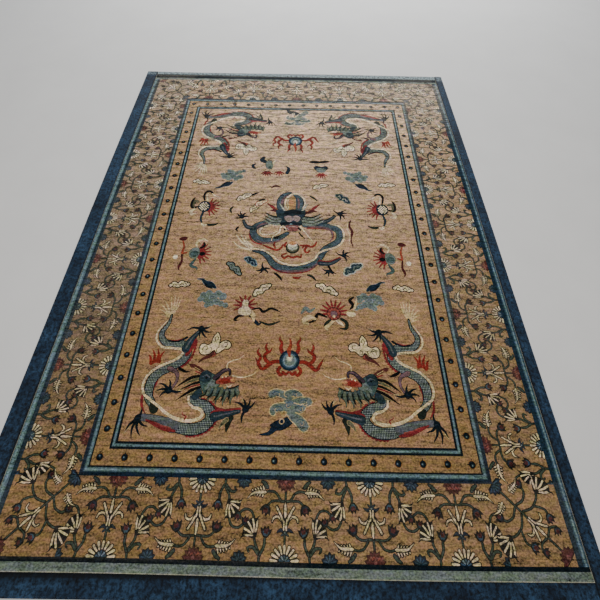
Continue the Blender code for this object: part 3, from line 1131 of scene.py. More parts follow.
def ring(out, yarn, inset0, inset1):
    """A stripe all round the rug, between two insets from its edge."""
    (x0, y0), (x1, y1) = frame_line(inset0), frame_line(inset1)
    for s in (-1, 1):
        out.box(yarn, -x0, min(s * y1, s * y0), x0, max(s * y1, s * y0))
        out.box(yarn, min(s * x1, s * x0), -y1, max(s * x1, s * x0), y1)


def pearls(out):
    """The guard border: beads in a row, each with its light middle and a small tip."""
    bead = Pattern()
    bead.disc(0, 0, 15.5, "deep", 2.5, "ochre")
    bead.disc(-3, -1, 7, "slate")
    bead.disc(-4, 0, 3, "sky")
    bead.line([(0, 12), (0, 24)], (6, 3), "deep")
    across, along = frame_line(STRIPE_IN + 34)
    for k in range(16):
        for s in (-1, 1):
            out.add(bead, (k - 7.5) * 117.9, s * along, flip_y=-s)
    for k in range(23):
        for s in (-1, 1):
            out.add(bead, s * across, (k - 11) * 119.8, turn=s * 90)

# %% the main border
def border_pattern():
    out = Pattern()
    rim_x, rim_y = frame_line(EDGE_IN)
    in_x, in_y = frame_line(BORDER_IN)
    bank = rim_x - in_x
    one = sprig(bank)
    for s in (-1, 1):
        for k in range(-2, 3):
            foot, up = (in_y, s) if k % 2 else (rim_y, -s)
            out.add(one, k * SPRIG_PITCH, s * foot, flip_y=up)
    for k in range(9):
        y = -1235 + 342 * k - 3.4 * k * k
        closer = (342 - 6.8 * k) / SPRIG_PITCH
        for s in (-1, 1):
            foot, turn = (in_x, -90) if k % 2 else (rim_x, 90)
            out.add(one, s * foot, y, turn=s * turn, flip_x=s, stretch=closer)
    corner = Pattern()
    corner.add(corner_sprig(hypot(bank, bank)), turn=-45)
    for s in (-1, 1):
        for t in (-1, 1):
            x0, x1 = sorted((s * in_x, s * rim_x))
            y0, y1 = sorted((t * in_y, t * rim_y))
            out.box("border", x0, y0, x1, y1)
            out.add(corner, s * in_x, t * in_y, flip_x=s, flip_y=t)
    return out

# %% the stripes
def stripes(out):
    rim_x, rim_y = frame_line(0)
    ring(out, "mid", 0, EDGE_IN)
    for s, yarn, a, b in ((-1, "lake", 2, 27), (-1, "foam", 8, 19), (1, "blue", 2, 26), (1, "foam", 11, 19)):
        x0, x1 = sorted((s * (rim_x - a), s * (rim_x - b)))
        out.box(yarn, x0, -rim_y, x1, rim_y)
    ends = (("deep", 0, EDGE_IN), ("light", 3, 33), ("pale", 0, 3))
    for yarn, a, b in ends:
        out.box(yarn, -rim_x, -(rim_y - a), rim_x, -(rim_y - b))
    # at the far end the outer 42 mm are dark yarn: a painted shadow line along the seam, where the near end
    # has its light stripe
    for yarn, a, b in (("light", 42, EDGE_IN + 17), ("deep", 0, 42)):
        out.box(yarn, -rim_x, rim_y - b, rim_x, rim_y - a)
    for inset, yarn in ((0, "navy"), (13, "mid"), (18, "lake"), (23, "foam"), (28, "lake"), (34, "deep")):
        ring(out, yarn, BORDER_IN + inset, STRIPE_IN)
    ring(out, "guard", STRIPE_IN, GUARD_IN)
    for inset, yarn in ((0, "deep"), (10, "lake"), (14, "foam"), (18, "lake"), (22.5, "deep")):
        ring(out, yarn, GUARD_IN + inset, GUARD_IN + 33)
    # streaks of another dye lot along the near end
    for k in range(46):
        x, y = -rim_x + 30 + 57.3 * k, -rim_y + 7 + 23 * ((k * 0.618) % 1)
        long = 60 + 90 * ((k * 0.414) % 1)
        out.line([(x - long / 2, y), (x + long / 2, y + 1)], (0, 3.4, 0), "mid" if k % 3 else "pale")
    pearls(out)


tell("the border", border_pattern())
# %% [markdown]
# # The dyed yarns
#
# The whole rug is knotted from some forty dyed silks.  They are listed once, as a dyer would know them,
# and each face of the pile is given its yarn's colour as an attribute, which the pile material reads.

# %% yarns, as red, green and blue from 0 to 255
YARNS = {
    "ground": (164, 138, 108),
    "border": (152, 129, 97),
    "guard": (155, 132, 98),
    "ochre": (143, 109, 58),
    "ink": (18, 22, 24),
    "deep": (20, 36, 46),
    "navy": (32, 52, 70),
    "blue": (66, 94, 112),
    "slate": (50, 70, 80),
    "mid": (38, 62, 78),
    "teal": (80, 102, 102),
    "dove": (100, 106, 112),
    "scaly": (152, 166, 160),
    "scaly_blue": (112, 134, 144),
    "sky": (126, 146, 154),
    "lake": (100, 124, 130),
    "foam": (122, 148, 158),
    "haze": (116, 130, 126),
    "beard": (106, 118, 106),
    "light": (120, 134, 130),
    "pale": (158, 168, 160),
    "pearl": (222, 216, 194),
    "ivory": (214, 202, 170),
    "cream": (196, 180, 142),
    "sage": (106, 108, 88),
    "moss": (42, 54, 46),
    "fern": (66, 84, 74),
    "gold": (170, 144, 108),
    "brown": (90, 66, 48),
    "brick": (152, 80, 62),
    "crimson": (134, 58, 62),
    "peach": (190, 150, 114),
    "plum": (72, 64, 76),
    "red": (138, 58, 50),
    "rose": (148, 88, 80),
    "wine": (90, 46, 48),
    "maroon": (96, 56, 54),
    "dusk": (134, 92, 88),
    "mauve": (118, 98, 104),
    "lilac": (158, 146, 146),
}


VAT_DEPTH = 1.22


def linear(rgb):
    """A colour on the 0 to 255 scale as the linear values that a shader works with."""
    shares = [v / 255 for v in rgb]
    return (*(v / 12.92 if v < 0.04045 else ((v + 0.055) / 1.055) ** 2.4 for v in shares), 1.0)


def steeped(rgb):
    """A yarn as it comes out of the vat, deeper than on the dyer's card."""
    return (*(v**VAT_DEPTH for v in linear(rgb)[:3]), 1.0)


DYE = {name: steeped(rgb) for name, rgb in YARNS.items()}
print(len(DYE), "yarns")
# %% [markdown]
# # Cutting the drawing into the pile
#
# The patches overlap, but a knot has only one yarn.  Blender's constrained triangulation cuts a flat sheet
# along every outline, and each triangle takes the yarn of the last patch that lies over its middle.  Lines
# with the same yarn on both sides are then dropped and the sheet is cut once more, which leaves half as
# many faces.  The flat sheet takes the rug's true plan, its folds and a slight unevenness, and gets a
# skirt down the outer rim.

# %% the height of the pile
PILE_UNEVEN = 0.0005


def pile_top(x, y):
    """The top of the pile, in metres above the floor, for a point of the true rectangle."""
    ripple = noise.noise(Vector((x * 2.1, y * 2.6, 0.4))) + 0.5 * noise.noise(Vector((x * 7, y * 9, 3.1)))
    return RUG_THICK + fold_height(x, y) + PILE_UNEVEN * ripple


def crease_wear_and_light(x, y):
    """Painted light on a crease: paler on its crest, partly rubbed wear and partly painted highlight, and
    painted shade on the side away from the light.
    """
    tone = 0.0
    for up, slant, _height, half, middle, reach in FOLDS:
        along = exp(-(((x - middle) / reach) ** 4))
        off = (y - up - slant * x) / half
        tone += along * (exp(-((off / 0.55) ** 2)) - 1.5 * exp(-(((off + 0.9) / 0.45) ** 2)))
    return tone


# the rows of points that cross a fold, in half widths of it
FOLD_ROWS = (-1.8, -1.3, -0.9, -0.6, -0.3, 0, 0.3, 0.6, 0.9, 1.3, 1.8)
NET_GAP = 30.0


def points_between(x0, y0, x1, y1):
    """A plain net of points, with close rows over each fold so that it bends softly."""
    found = []
    columns, rows = (max(1, round(size / NET_GAP)) for size in (x1 - x0, y1 - y0))
    for i in range(columns + 1):
        x = x0 + (x1 - x0) * i / columns
        found += [(x, y0 + (y1 - y0) * j / rows) for j in range(rows + 1)]
        for up, slant, _height, half, middle, reach in FOLDS:
            if abs(x / 1000 - middle) > 1.25 * reach:
                continue
            for k in FOLD_ROWS:
                y = 1000 * (up + slant * x / 1000 + k * half)
                if y0 < y < y1:
                    found.append((x, y))
    return found


print("pile at the middle of the rug: %.2f mm high" % (1000 * pile_top(0, 0)))

# %% which yarn shows
def cut(points, edges):
    """Triangles, all turned the same way up, with every given edge kept."""
    out, _, faces, _, _, _ = delaunay_2d_cdt([Vector(p) for p in points], edges, [], 0, 1e-3, False)
    spots = np.array([(p.x, p.y) for p in out])
    corners = np.array(faces, dtype=np.int64)
    a, b, c = (spots[corners[:, k]] for k in range(3))
    double = (b[:, 0] - a[:, 0]) * (c[:, 1] - a[:, 1]) - (b[:, 1] - a[:, 1]) * (c[:, 0] - a[:, 0])
    corners[double < 0] = corners[double < 0][:, ::-1]
    return spots, corners[np.abs(double) > 1e-4]


def inside(loop, spots):
    """Which spots a closed outline goes round, however often it crosses itself."""
    ends = np.array(loop)
    x0, y0 = ends[:, 0][:, None], ends[:, 1][:, None]
    x1, y1 = np.roll(ends[:, 0], -1)[:, None], np.roll(ends[:, 1], -1)[:, None]
    x, y = spots[:, 0][None], spots[:, 1][None]
    left = (x1 - x0) * (y - y0) - (x - x0) * (y1 - y0)
    up = (y0 <= y) & (y1 > y) & (left > 0)
    down = (y0 > y) & (y1 <= y) & (left < 0)
    return (up.sum(0) - down.sum(0)) != 0


def yarn_of(spots, corners, patches):
    """For each triangle, the number of the yarn of the topmost patch over its middle."""
    middles = spots[corners].mean(1)
    order = np.argsort(middles[:, 1])
    across, up = middles[order].T
    yarn = np.zeros(len(corners), dtype=np.int64)
    for number, loop, (x0, y0, x1, y1) in patches:
        a, b = np.searchsorted(up, (y0, y1))
        near = order[a:b][(across[a:b] > x0) & (across[a:b] < x1)]
        yarn[near[inside(loop, middles[near])]] = number
    return yarn


# %% one piece of pile
NAMES = list(YARNS)
SLIP, SLIP_WAVES = 1.5, 0.11


def by_hand(loop):
    """An outline as the knots keep it: each point slips a little, boxes stay straight."""
    if len(loop) == 4:
        return loop
    shaken = []
    for x, y in loop:
        spot = Vector((x * SLIP_WAVES, y * SLIP_WAVES, 0.5))
        across, up = noise.noise(spot), noise.noise(spot + Vector((31, 17, 5)))
        shaken.append((x + SLIP * across, y + SLIP * up))
    return shaken


def patches_over(area, drawing):
    """The outlines that reach into an area: (number of the yarn, outline, its box)."""
    found = []
    for yarn, loop in drawing.patches:
        loop = by_hand(loop)
        xs, ys = [p[0] for p in loop], [p[1] for p in loop]
        box = (min(xs), min(ys), max(xs), max(ys))
        if box[2] > area[0] and box[0] < area[2] and box[3] > area[1] and box[1] < area[3]:
            found.append((NAMES.index(yarn), loop, box))
    return found


def in_area(spots, area, corners):
    """Which triangles have their middle inside the area."""
    middles = spots[corners].mean(1)
    return ((middles > area[:2]) & (middles < area[2:])).all(1)

# %% drawing into faces
CREASED_GAP, FLAT_GAP = 9.0, 36.0


def split_edge(points, a, b):
    """A long edge in short pieces, so that it bends with the folds; its new points join the list."""
    (ax, ay), (bx, by) = points[a], points[b]
    x, y = (ax + bx) / 2000, (ay + by) / 2000
    reach = abs(by - ay) / 2000 + 0.05
    creased = any(abs(y - up - slant * x) < reach for up, slant, *_ in FOLDS)
    gap = CREASED_GAP if creased and abs(by - ay) > abs(bx - ax) else FLAT_GAP
    count = int(hypot(bx - ax, by - ay) / gap) + 1
    chain = [a]
    for k in range(1, count):
        chain.append(len(points))
        points.append((ax + (bx - ax) * k / count, ay + (by - ay) * k / count))
    chain.append(b)
    return list(zip(chain, chain[1:]))


def woven(area, drawing):
    """Points, triangles and yarns of the drawing inside an area."""
    x0, y0, x1, y1 = area
    patches = patches_over(area, drawing)
    points = [(x0, y0), (x1, y0), (x1, y1), (x0, y1)]
    edges = [(0, 1), (1, 2), (2, 3), (3, 0)]
    for _number, loop, _box in patches:
        n = len(points)
        points += loop
        edges += [(n + k, n + (k + 1) % len(loop)) for k in range(len(loop))]
    spots, corners = cut(points, edges)
    corners = corners[in_area(spots, area, corners)]
    yarn = yarn_of(spots, corners, patches)
    beside = {}
    for (a, b, c), y in zip(corners.tolist(), yarn.tolist()):
        for e in ((a, b), (b, c), (c, a)):
            beside.setdefault((min(e), max(e)), []).append(y)
    kept = [e for e, ys in beside.items() if len(ys) == 1 or ys[0] != ys[1]]
    used = sorted({i for e in kept for i in e})
    place = {i: k for k, i in enumerate(used)}
    points = [tuple(spots[i]) for i in used]
    edges = []
    for a, b in kept:
        edges += split_edge(points, place[a], place[b])
    spots, corners = cut(points + points_between(*area), edges)
    corners = corners[in_area(spots, area, corners)]
    return spots, corners, yarn_of(spots, corners, patches)

# %% the skirt
SKIRT_LOW = 0.0005


def add_skirt(plan, kept, colours, corners):
    """Adds walls from the rim of the whole rug down to just above the floor."""
    rim = RUG_WIDTH / 2 - 1e-5, RUG_LENGTH / 2 - 1e-5
    single = {}
    for n, t in enumerate(kept):
        for a, b in ((t[0], t[1]), (t[1], t[2]), (t[2], t[0])):
            if (b, a) in single:
                del single[(b, a)]
            else:
                single[(a, b)] = n
    low = {}
    for (a, b), n in single.items():
        if not any(min(abs(plan[a][axis]), abs(plan[b][axis])) > rim[axis] for axis in (0, 1)):
            continue
        for i in (a, b):
            if i not in low:
                low[i] = len(corners)
                corners.append((*corners[i][:2], SKIRT_LOW))
        kept += [(a, low[a], b), (low[a], low[b], b)]
        colours += [colours[n]] * 2


# %% where a yarn lies: painted sheen towards the far end, and greyer borders
BORDER = DYE["border"][:3]
GROUNDS = [DYE[name][:3] for name in ("ground", "border", "guard")]
SCALY = [DYE["scaly"], DYE["scaly_blue"]]
WHITES = [DYE[name][:3] for name in ("ivory", "cream", "pearl", "pale")]
# the pale tan, white and grey that the far end is mixed towards are painted sheen; the pale tan also lightens
# the right border a little, and the side grey darkens the borders
PALE_TAN, WHITE_SHEEN = (0.70, 0.55, 0.40), (1.0, 0.98, 0.88)
SIDE_GREY, GREY_SHEEN, MUTED = (0.10, 0.115, 0.115), (0.56, 0.53, 0.46), (0.17, 0.165, 0.14)
# the side borders, the inner and outer edge of the near border and of the far one, in metres
SIDE_IN, SIDE_OUT, NEAR_IN, NEAR_OUT, FAR_OUT = 0.90, 1.25, -1.38, -1.67, 1.68


def ramp(value, low, high):
    """How far a value has come from low to high, from 0 to 1."""
    return min(1.0, max(0.0, (value - low) / (high - low)))


def toward(colour, other, amount):
    return [v + (w - v) * amount for v, w in zip(colour, other)]


def toned_with_painted_sheen(colour, x, y):
    """A yarn where it lies: paled and greyed towards the far end as painted sheen, and darker, greyer and
    softer in the borders.
    """
    # far and end are masks of painted sheen: the far end is paled and greyed where the silk, seen along its
    # lie, reflects the window
    far = ramp(y, -0.75, 1.15)
    end = ramp(y, 0.9, 1.6) * (y < FAR_OUT) * (0.65 + 0.35 * x)
    # side greys and softens the side borders and the near border, darker on the left
    side = ramp(abs(x), SIDE_IN, 0.95) * (abs(x) < SIDE_OUT) * ramp(y, -1.6, -0.6)
    side = max(side, 0.5 * (NEAR_OUT < y < NEAR_IN))
    if colour in WHITES:
        return toward(toward(colour, MUTED, 0.30 * side), WHITE_SHEEN, 0.40 * far)
    if colour not in GROUNDS:
        return toward(toward(colour, MUTED, 0.22 * side), GREY_SHEEN, 0.24 * end)
    if colour == BORDER:
        side_toned = toward(colour, SIDE_GREY, (0.42 if x < 0 else 0.10) * side * (y > NEAR_IN))
        return toward(toward(side_toned, PALE_TAN, 0.22 * far + 0.10 * side * (x > 0)), GREY_SHEEN, 0.32 * end)
    return toward(colour, PALE_TAN, 0.64 * far * min(1.0, max(0.4, 1.25 + x)))


def paint(mesh, colours):
    """Gives every face its yarn; a fourth value of 0 marks the scaly yarns."""
    layer = mesh.attributes.new("yarn", "FLOAT_COLOR", "CORNER")
    values = array("f")
    for polygon, colour in zip(mesh.polygons, colours):
        mark = 0.0 if colour in SCALY else 1.0
        for corner in polygon.vertices:
            x, y, _z = mesh.vertices[corner].co
            values.extend((*toned_with_painted_sheen(colour[:3], x, y), mark))
    layer.data.foreach_set("color", values)


for place in (-1.7, 1.7):
    print("ground yarn at %.1f m:" % place, ["%.2f" % v for v in toned_with_painted_sheen(GROUNDS[0], 0, place)])

# %% weaving one piece
def weave(name, area, drawing):
    """Cuts the drawing into the rectangle (x0, y0, x1, y1), in millimetres, and makes it a piece of pile."""
    spots, triangles, yarns = woven(area, drawing)
    used, triangles = np.unique(triangles, return_inverse=True)
    plan = [(x / 1000, y / 1000) for x, y in spots[used].tolist()]
    kept = [tuple(t) for t in triangles.reshape(-1, 3).tolist()]
    colours = [DYE[NAMES[n]] for n in yarns.tolist()]
    corners = [(*lay(x, y), pile_top(x, y)) for x, y in plan]
    top_count = len(kept)
    add_skirt(plan, kept, colours, corners)
    mesh = bpy.data.meshes.new(name)
    mesh.from_pydata(corners, [], kept)
    paint(mesh, colours)
    # the crease layer carries painted light: a painted highlight on each crest, partly rubbed wear, and
    # painted shade on its side away from the light
    worn = mesh.attributes.new("crease", "FLOAT", "POINT")
    crease_light = [crease_wear_and_light(x, y) for x, y in plan]
    worn.data.foreach_set("value", crease_light + [0.0] * (len(corners) - len(crease_light)))
    mesh.polygons.foreach_set("use_smooth", [True] * len(kept))
    mesh.set_sharp_from_angle(angle=radians(50))
    piece = bpy.data.objects.new(name, mesh)
    bpy.context.scene.collection.objects.link(piece)
    print("%s: %d triangles of pile, %d on its skirt" % (name, top_count, len(kept) - top_count))
    return piece
# %% the whole drawing, and the five pieces of pile
RIM_X, RIM_Y = frame_line(0)
drawing = Pattern()
drawing.box("border", -RIM_X, -RIM_Y, RIM_X, RIM_Y)
drawing.add(border_pattern())
drawing.box("ground", -FIELD_X, -FIELD_Y, FIELD_X, FIELD_Y)
stripes(drawing)
drawing.add(field_pattern())
tell("the whole drawing", drawing)

PILES = {
    "pile_field": (-FIELD_X, -FIELD_Y, FIELD_X, FIELD_Y),
    "pile_near": (-RIM_X, -RIM_Y, RIM_X, -FIELD_Y),
    "pile_far": (-RIM_X, FIELD_Y, RIM_X, RIM_Y),
    "pile_left": (-RIM_X, -FIELD_Y, -FIELD_X, FIELD_Y),
    "pile_right": (FIELD_X, -FIELD_Y, RIM_X, FIELD_Y),
}
piles = [weave(name, area, drawing) for name, area in PILES.items()]
# %% [markdown]
# # The foundation
#
# Under the pile is the cloth that the knots are tied on: cotton warps with wefts beaten in between.  It is
# only a slab as thick as the knots are deep, a millimetre short of the pile's top, but it closes the rug
# from below, so that its back is there when it is turned over.

# %% helpers for plain sheets
def link(name, corners, faces):
    """A mesh object at the origin, with its faces turned outwards."""
    mesh = bpy.data.meshes.new(name)
    mesh.from_pydata(corners, [], faces)
    shape = bmesh.new()
    shape.from_mesh(mesh)
    bmesh.ops.remove_doubles(shape, verts=shape.verts, dist=1e-6)
    bmesh.ops.recalc_face_normals(shape, faces=shape.faces)
    shape.to_mesh(mesh)
    shape.free()
    mesh.polygons.foreach_set("use_smooth", [True] * len(mesh.polygons))
    mesh.set_sharp_from_angle(angle=radians(50))
    piece = bpy.data.objects.new(name, mesh)
    bpy.context.scene.collection.objects.link(piece)
    return piece


def steps(a, b, gap):
    count = max(1, round(abs(b - a) / gap))
    return [a + (b - a) * k / count for k in range(count + 1)]


# %% the foundation slab
BACK_LOW, KNOT_DEPTH, RIM_INSET = 0.0004, 0.0012, 0.0012


def foundation_slab():
    xs = steps(-RUG_WIDTH / 2 + RIM_INSET, RUG_WIDTH / 2 - RIM_INSET, 0.040)
    ys = set(steps(-RUG_LENGTH / 2 + RIM_INSET, RUG_LENGTH / 2 - RIM_INSET, 0.040))
    for up, _slant, _height, half, _middle, _reach in FOLDS:
        ys |= {up + k * half for k in (-1.6, -0.8, 0.8, 1.6)}
    plan = [(x, y) for y in sorted(ys) for x in xs]
    corners = [(*lay(x, y), BACK_LOW) for x, y in plan]
    corners += [(*lay(x, y), pile_top(x, y) - KNOT_DEPTH) for x, y in plan]
    wide, tall = len(xs), len(ys)
    layer = wide * tall
    faces = []
    for j in range(tall - 1):
        for i in range(wide - 1):
            a = j * wide + i
            faces.append((a, a + wide, a + wide + 1, a + 1))
            faces.append((layer + a, layer + a + 1, layer + a + wide + 1, layer + a + wide))
    rim = [*range(wide), *range(2 * wide - 1, layer, wide)]
    rim += [*range(layer - 2, layer - wide - 1, -1), *range((tall - 2) * wide, 0, -wide)]
    for a, b in zip(rim, rim[1:] + rim[:1]):
        faces.append((a, b, layer + b, layer + a))
    return link("foundation", corners, faces)


foundation = foundation_slab()
print("foundation: %d faces" % len(foundation.data.polygons))

# %% [markdown]
# # The blue cloth strips
#
# Each strip is folded double and sewn against the edge of the rug.  It dips to the seam on its inner side,
# where the thread pulls it down, is a little fuller in the middle, and is rounded at the folded outer hem.
# The strips are swept from one cross-section, so all four match.

# %% one strip
# how high of its full height the strip is: at distances from its inner edge, at shares of its width,
# and at distances from its outer edge
RISE = ((0.0, 0.06), (0.0002, 0.30), (0.0025, 0.52), (0.0060, 0.80), (0.0100, 0.96), (0.0150, 1.02))
CROWN = ((0.25, 1.03), (0.50, 1.00), (0.75, 1.03))
HEM = (
    (0.0110, 1.01), (0.0085, 0.93), (0.0060, 1.00), (0.0026, 0.92), (0.0007, 0.66), (0.0, 0.36),
    (0.0006, 0.06)
)
STRIP_FLOOR = 0.0003


def far_sheen_share(co, name):
    """Painted sheen: the strip across the far end is painted pale grey-blue in full, and the side strips a
    little at that end.
    """
    if name == "strip_far":
        return 1.0
    return 0.5 * ramp(co.y - MIDDLE_Y, 1.72, 1.74)


def seam_shadow(co, name):
    """How dark the painted shadow beside the rug is: 1 in the seam, fading to 0 at 16 mm from it."""
    x, y = abs(co.x - MIDDLE_X) - RUG_WIDTH / 2, abs(co.y - MIDDLE_Y) - RUG_LENGTH / 2
    gap = x if name in ("strip_left", "strip_right") else y
    return 1 - ramp(gap, 0.004, 0.016)


def strip(name, inner, outer, along, seed):
    """A strip between two lines: inner and outer are functions of how far along, giving true x and y."""
    corners, faces = [], []
    (ax, ay), (bx, by) = inner(0), outer(0)
    wide = hypot(bx - ax, by - ay)
    profile = [(d / wide, high) for d, high in RISE] + [*CROWN]
    profile += [(1 - d / wide, high) for d, high in HEM]
    count = len(profile)
    for t in along:
        (ax, ay), (bx, by) = inner(t), outer(t)
        for part, high in profile:
            x, y = ax + (bx - ax) * part, ay + (by - ay) * part
            puff = noise.noise(Vector((x * 9 + seed, y * 9, 1.7))) * 0.00035 * (0.2 < part < 0.9)
            lift = fold_height(x, y) * BAND_THICK / RUG_THICK
            z = STRIP_FLOOR + (BAND_THICK - STRIP_FLOOR) * high + (lift + puff) * (high > 0.5)
            corners.append((*lay(x, y), z))
    for j in range(len(along) - 1):
        for i in range(count - 1):
            a = j * count + i
            faces.append((a, a + 1, a + count + 1, a + count))
        faces.append((j * count + count - 1, j * count, (j + 1) * count, (j + 1) * count + count - 1))
    faces.append(tuple(range(count)))
    faces.append(tuple((len(along) - 1) * count + k for k in range(count - 1, -1, -1)))
    piece = link(name, corners, faces)
    for label, measure in (("seam", seam_shadow), ("painted_sheen", far_sheen_share)):
        layer = piece.data.attributes.new(label, "FLOAT", "POINT")
        layer.data.foreach_set("value", [measure(v.co, name) for v in piece.data.vertices])
    print("%s: %d faces" % (name, len(piece.data.polygons)))
    return piece

# %% the four strips
def rows_for(a, b):
    """Places along a side strip: every 20 mm, and closer over the folds."""
    found = set(steps(a, b, 0.020))
    for up, _slant, _height, half, _middle, _reach in FOLDS:
        found |= {up + k * half for k in (-1.5, -1, -0.5, 0, 0.5, 1, 1.5)}
    return sorted(found)


half_x, half_y = RUG_WIDTH / 2, RUG_LENGTH / 2
low_end, high_end = -half_y - SEAM - BAND_NEAR, half_y + SEAM + BAND_FAR
strips = {}
for number, (side, wide, label) in enumerate(((-1, BAND_LEFT, "left"), (1, BAND_RIGHT, "right")), 1):
    a, b = side * (half_x + SEAM), side * (half_x + SEAM + wide)
    rows = rows_for(low_end, high_end)
    strips["strip_" + label] = strip(
        "strip_" + label, lambda t: (a, t), lambda t: (b, t), rows, float(number)
    )
for number, (side, wide, label) in enumerate(((-1, BAND_NEAR, "near"), (1, BAND_FAR, "far")), 3):
    a, b = side * (half_y + SEAM), side * (half_y + SEAM + wide)
    rows = steps(-half_x + 0.0003, half_x - 0.0003, 0.020)
    strips["strip_" + label] = strip(
        "strip_" + label, lambda t: (t, a), lambda t: (t, b), rows, float(number)
    )
# %% [markdown]
# # Stitches
#
# Two kinds of hand stitch show.  Pale silk is wrapped over the rug's edge in close slanting turns, and a
# running stitch of dark thread holds the folded hem of each blue strip.  Both repeat along a line, which
# is what Geometry Nodes do best: one small stitch is set down on every point of the line and turned to
# follow it.

# %% one stitch, and the lines the stitches follow
def stitch_shape(name, length, width, rise, sides_count):
    """A short thread that rises from the cloth and goes back in: an arched tube along x."""
    corners, faces, rows = [], [], 4
    for j in range(rows + 1):
        t = j / rows
        r = width / 2 * (0.55 + 0.45 * sin(pi * t))
        for i in range(sides_count):
            a = 2 * pi * i / sides_count
            corners.append(((t - 0.5) * length, r * cos(a), rise * sin(pi * t) + r * sin(a)))
    for j in range(rows):
        for i in range(sides_count):
            a, b = j * sides_count + i, j * sides_count + (i + 1) % sides_count
            faces.append((a, b, b + sides_count, a + sides_count))
    faces.append(tuple(range(sides_count - 1, -1, -1)))
    faces.append(tuple(rows * sides_count + i for i in range(sides_count)))
    return link(name, corners, faces)


def guide(name, points):
    """A line of edges for the nodes to follow."""
    mesh = bpy.data.meshes.new(name)
    mesh.from_pydata(points, [(k, k + 1) for k in range(len(points) - 1)], [])
    line = bpy.data.objects.new(name, mesh)
    bpy.context.scene.collection.objects.link(line)
    return line


# %% the node tree that sews
def sewing_nodes():
    tree = bpy.data.node_groups.new("sew_along", "GeometryNodeTree")
    face = tree.interface
    face.new_socket("Geometry", in_out="INPUT", socket_type="NodeSocketGeometry")
    ids = {}
    for label, kind, value in (
        ("Stitch", "NodeSocketObject", None),
        ("Pitch", "NodeSocketFloat", 0.006),
        ("Slant", "NodeSocketFloat", 0.0),
        ("Unevenness", "NodeSocketFloat", 0.08),
        ("Seed", "NodeSocketInt", 7),
        ("Material", "NodeSocketMaterial", None),
    ):
        socket = face.new_socket(label, in_out="INPUT", socket_type=kind)
        if value is not None:
            socket.default_value = value
        ids[label] = socket.identifier
    face.new_socket("Geometry", in_out="OUTPUT", socket_type="NodeSocketGeometry")

    node = {"start": tree.nodes.new("NodeGroupInput"), "end": tree.nodes.new("NodeGroupOutput")}
    for name, kind, settings in (
        ("curve", "GeometryNodeMeshToCurve", {}),
        ("dots", "GeometryNodeCurveToPoints", {"mode": "LENGTH"}),
        ("info", "GeometryNodeObjectInfo", {}),
        ("place", "GeometryNodeInstanceOnPoints", {}),
        ("wobble", "FunctionNodeRandomValue", {"data_type": "FLOAT"}),
        ("lean", "ShaderNodeMath", {"operation": "ADD"}),
        ("turn", "ShaderNodeCombineXYZ", {}),
        ("minus", "ShaderNodeMath", {"operation": "MULTIPLY"}),
        ("spin", "GeometryNodeRotateInstances", {}),
        ("follow", "FunctionNodeAlignRotationToVector", {"axis": "X", "pivot_axis": "Z"}),
        ("real", "GeometryNodeRealizeInstances", {}),
        ("paint", "GeometryNodeSetMaterial", {}),
    ):
        node[name] = tree.nodes.new(kind)
        for key, value in settings.items():
            setattr(node[name], key, value)
    node["minus"].inputs[1].default_value = -1.0
    # each link: from a node and its output, to a node and its input
    for source, output, target, socket in (
        ("start", "Geometry", "curve", "Mesh"),
        ("curve", "Curve", "dots", "Curve"),
        ("start", "Pitch", "dots", "Length"),
        ("start", "Stitch", "info", "Object"),
        ("dots", "Points", "place", "Points"),
        ("info", "Geometry", "place", "Instance"),
        ("dots", "Tangent", "follow", "Vector"),
        ("follow", "Rotation", "place", "Rotation"),
        ("start", "Unevenness", "minus", 0),
        ("minus", 0, "wobble", "Min"),
        ("start", "Unevenness", "wobble", "Max"),
        ("start", "Seed", "wobble", "Seed"),
        ("start", "Slant", "lean", 0),
        ("wobble", "Value", "lean", 1),
        ("lean", 0, "turn", "Z"),
        ("place", "Instances", "spin", "Instances"),
        ("turn", 0, "spin", "Rotation"),
        ("spin", "Instances", "real", "Geometry"),
        ("real", "Geometry", "paint", "Geometry"),
        ("start", "Material", "paint", "Material"),
        ("paint", "Geometry", "end", "Geometry"),
    ):
        tree.links.new(node[source].outputs[output], node[target].inputs[socket])
    return tree, ids

# %% sewing a line
sew_tree, sew_inputs = sewing_nodes()


def sew(name, line, stitch, pitch, slant, seed, material):
    """Runs the nodes once and keeps the result as a plain mesh."""
    job = line.modifiers.new("sew", "NODES")
    job.node_group = sew_tree
    wanted = {"Stitch": stitch, "Pitch": pitch, "Slant": slant, "Seed": seed, "Material": material}
    for label, value in wanted.items():
        job[sew_inputs[label]] = value
    bpy.context.view_layer.update()
    mesh = bpy.data.meshes.new_from_object(line.evaluated_get(bpy.context.evaluated_depsgraph_get()))
    line.modifiers.remove(job)
    mesh.name = name
    piece = bpy.data.objects.new(name, mesh)
    bpy.context.scene.collection.objects.link(piece)
    bpy.data.objects.remove(line)
    print("%s: %d faces" % (name, len(mesh.polygons)))
    return piece
# %% [markdown]
# # Shader maths as plain expressions
#
# A material is a formula for each point of the surface.  `Wire` wraps a node's socket so that the formula
# can be written down as one, and `Recipe` makes every other node from its type, settings and inputs.

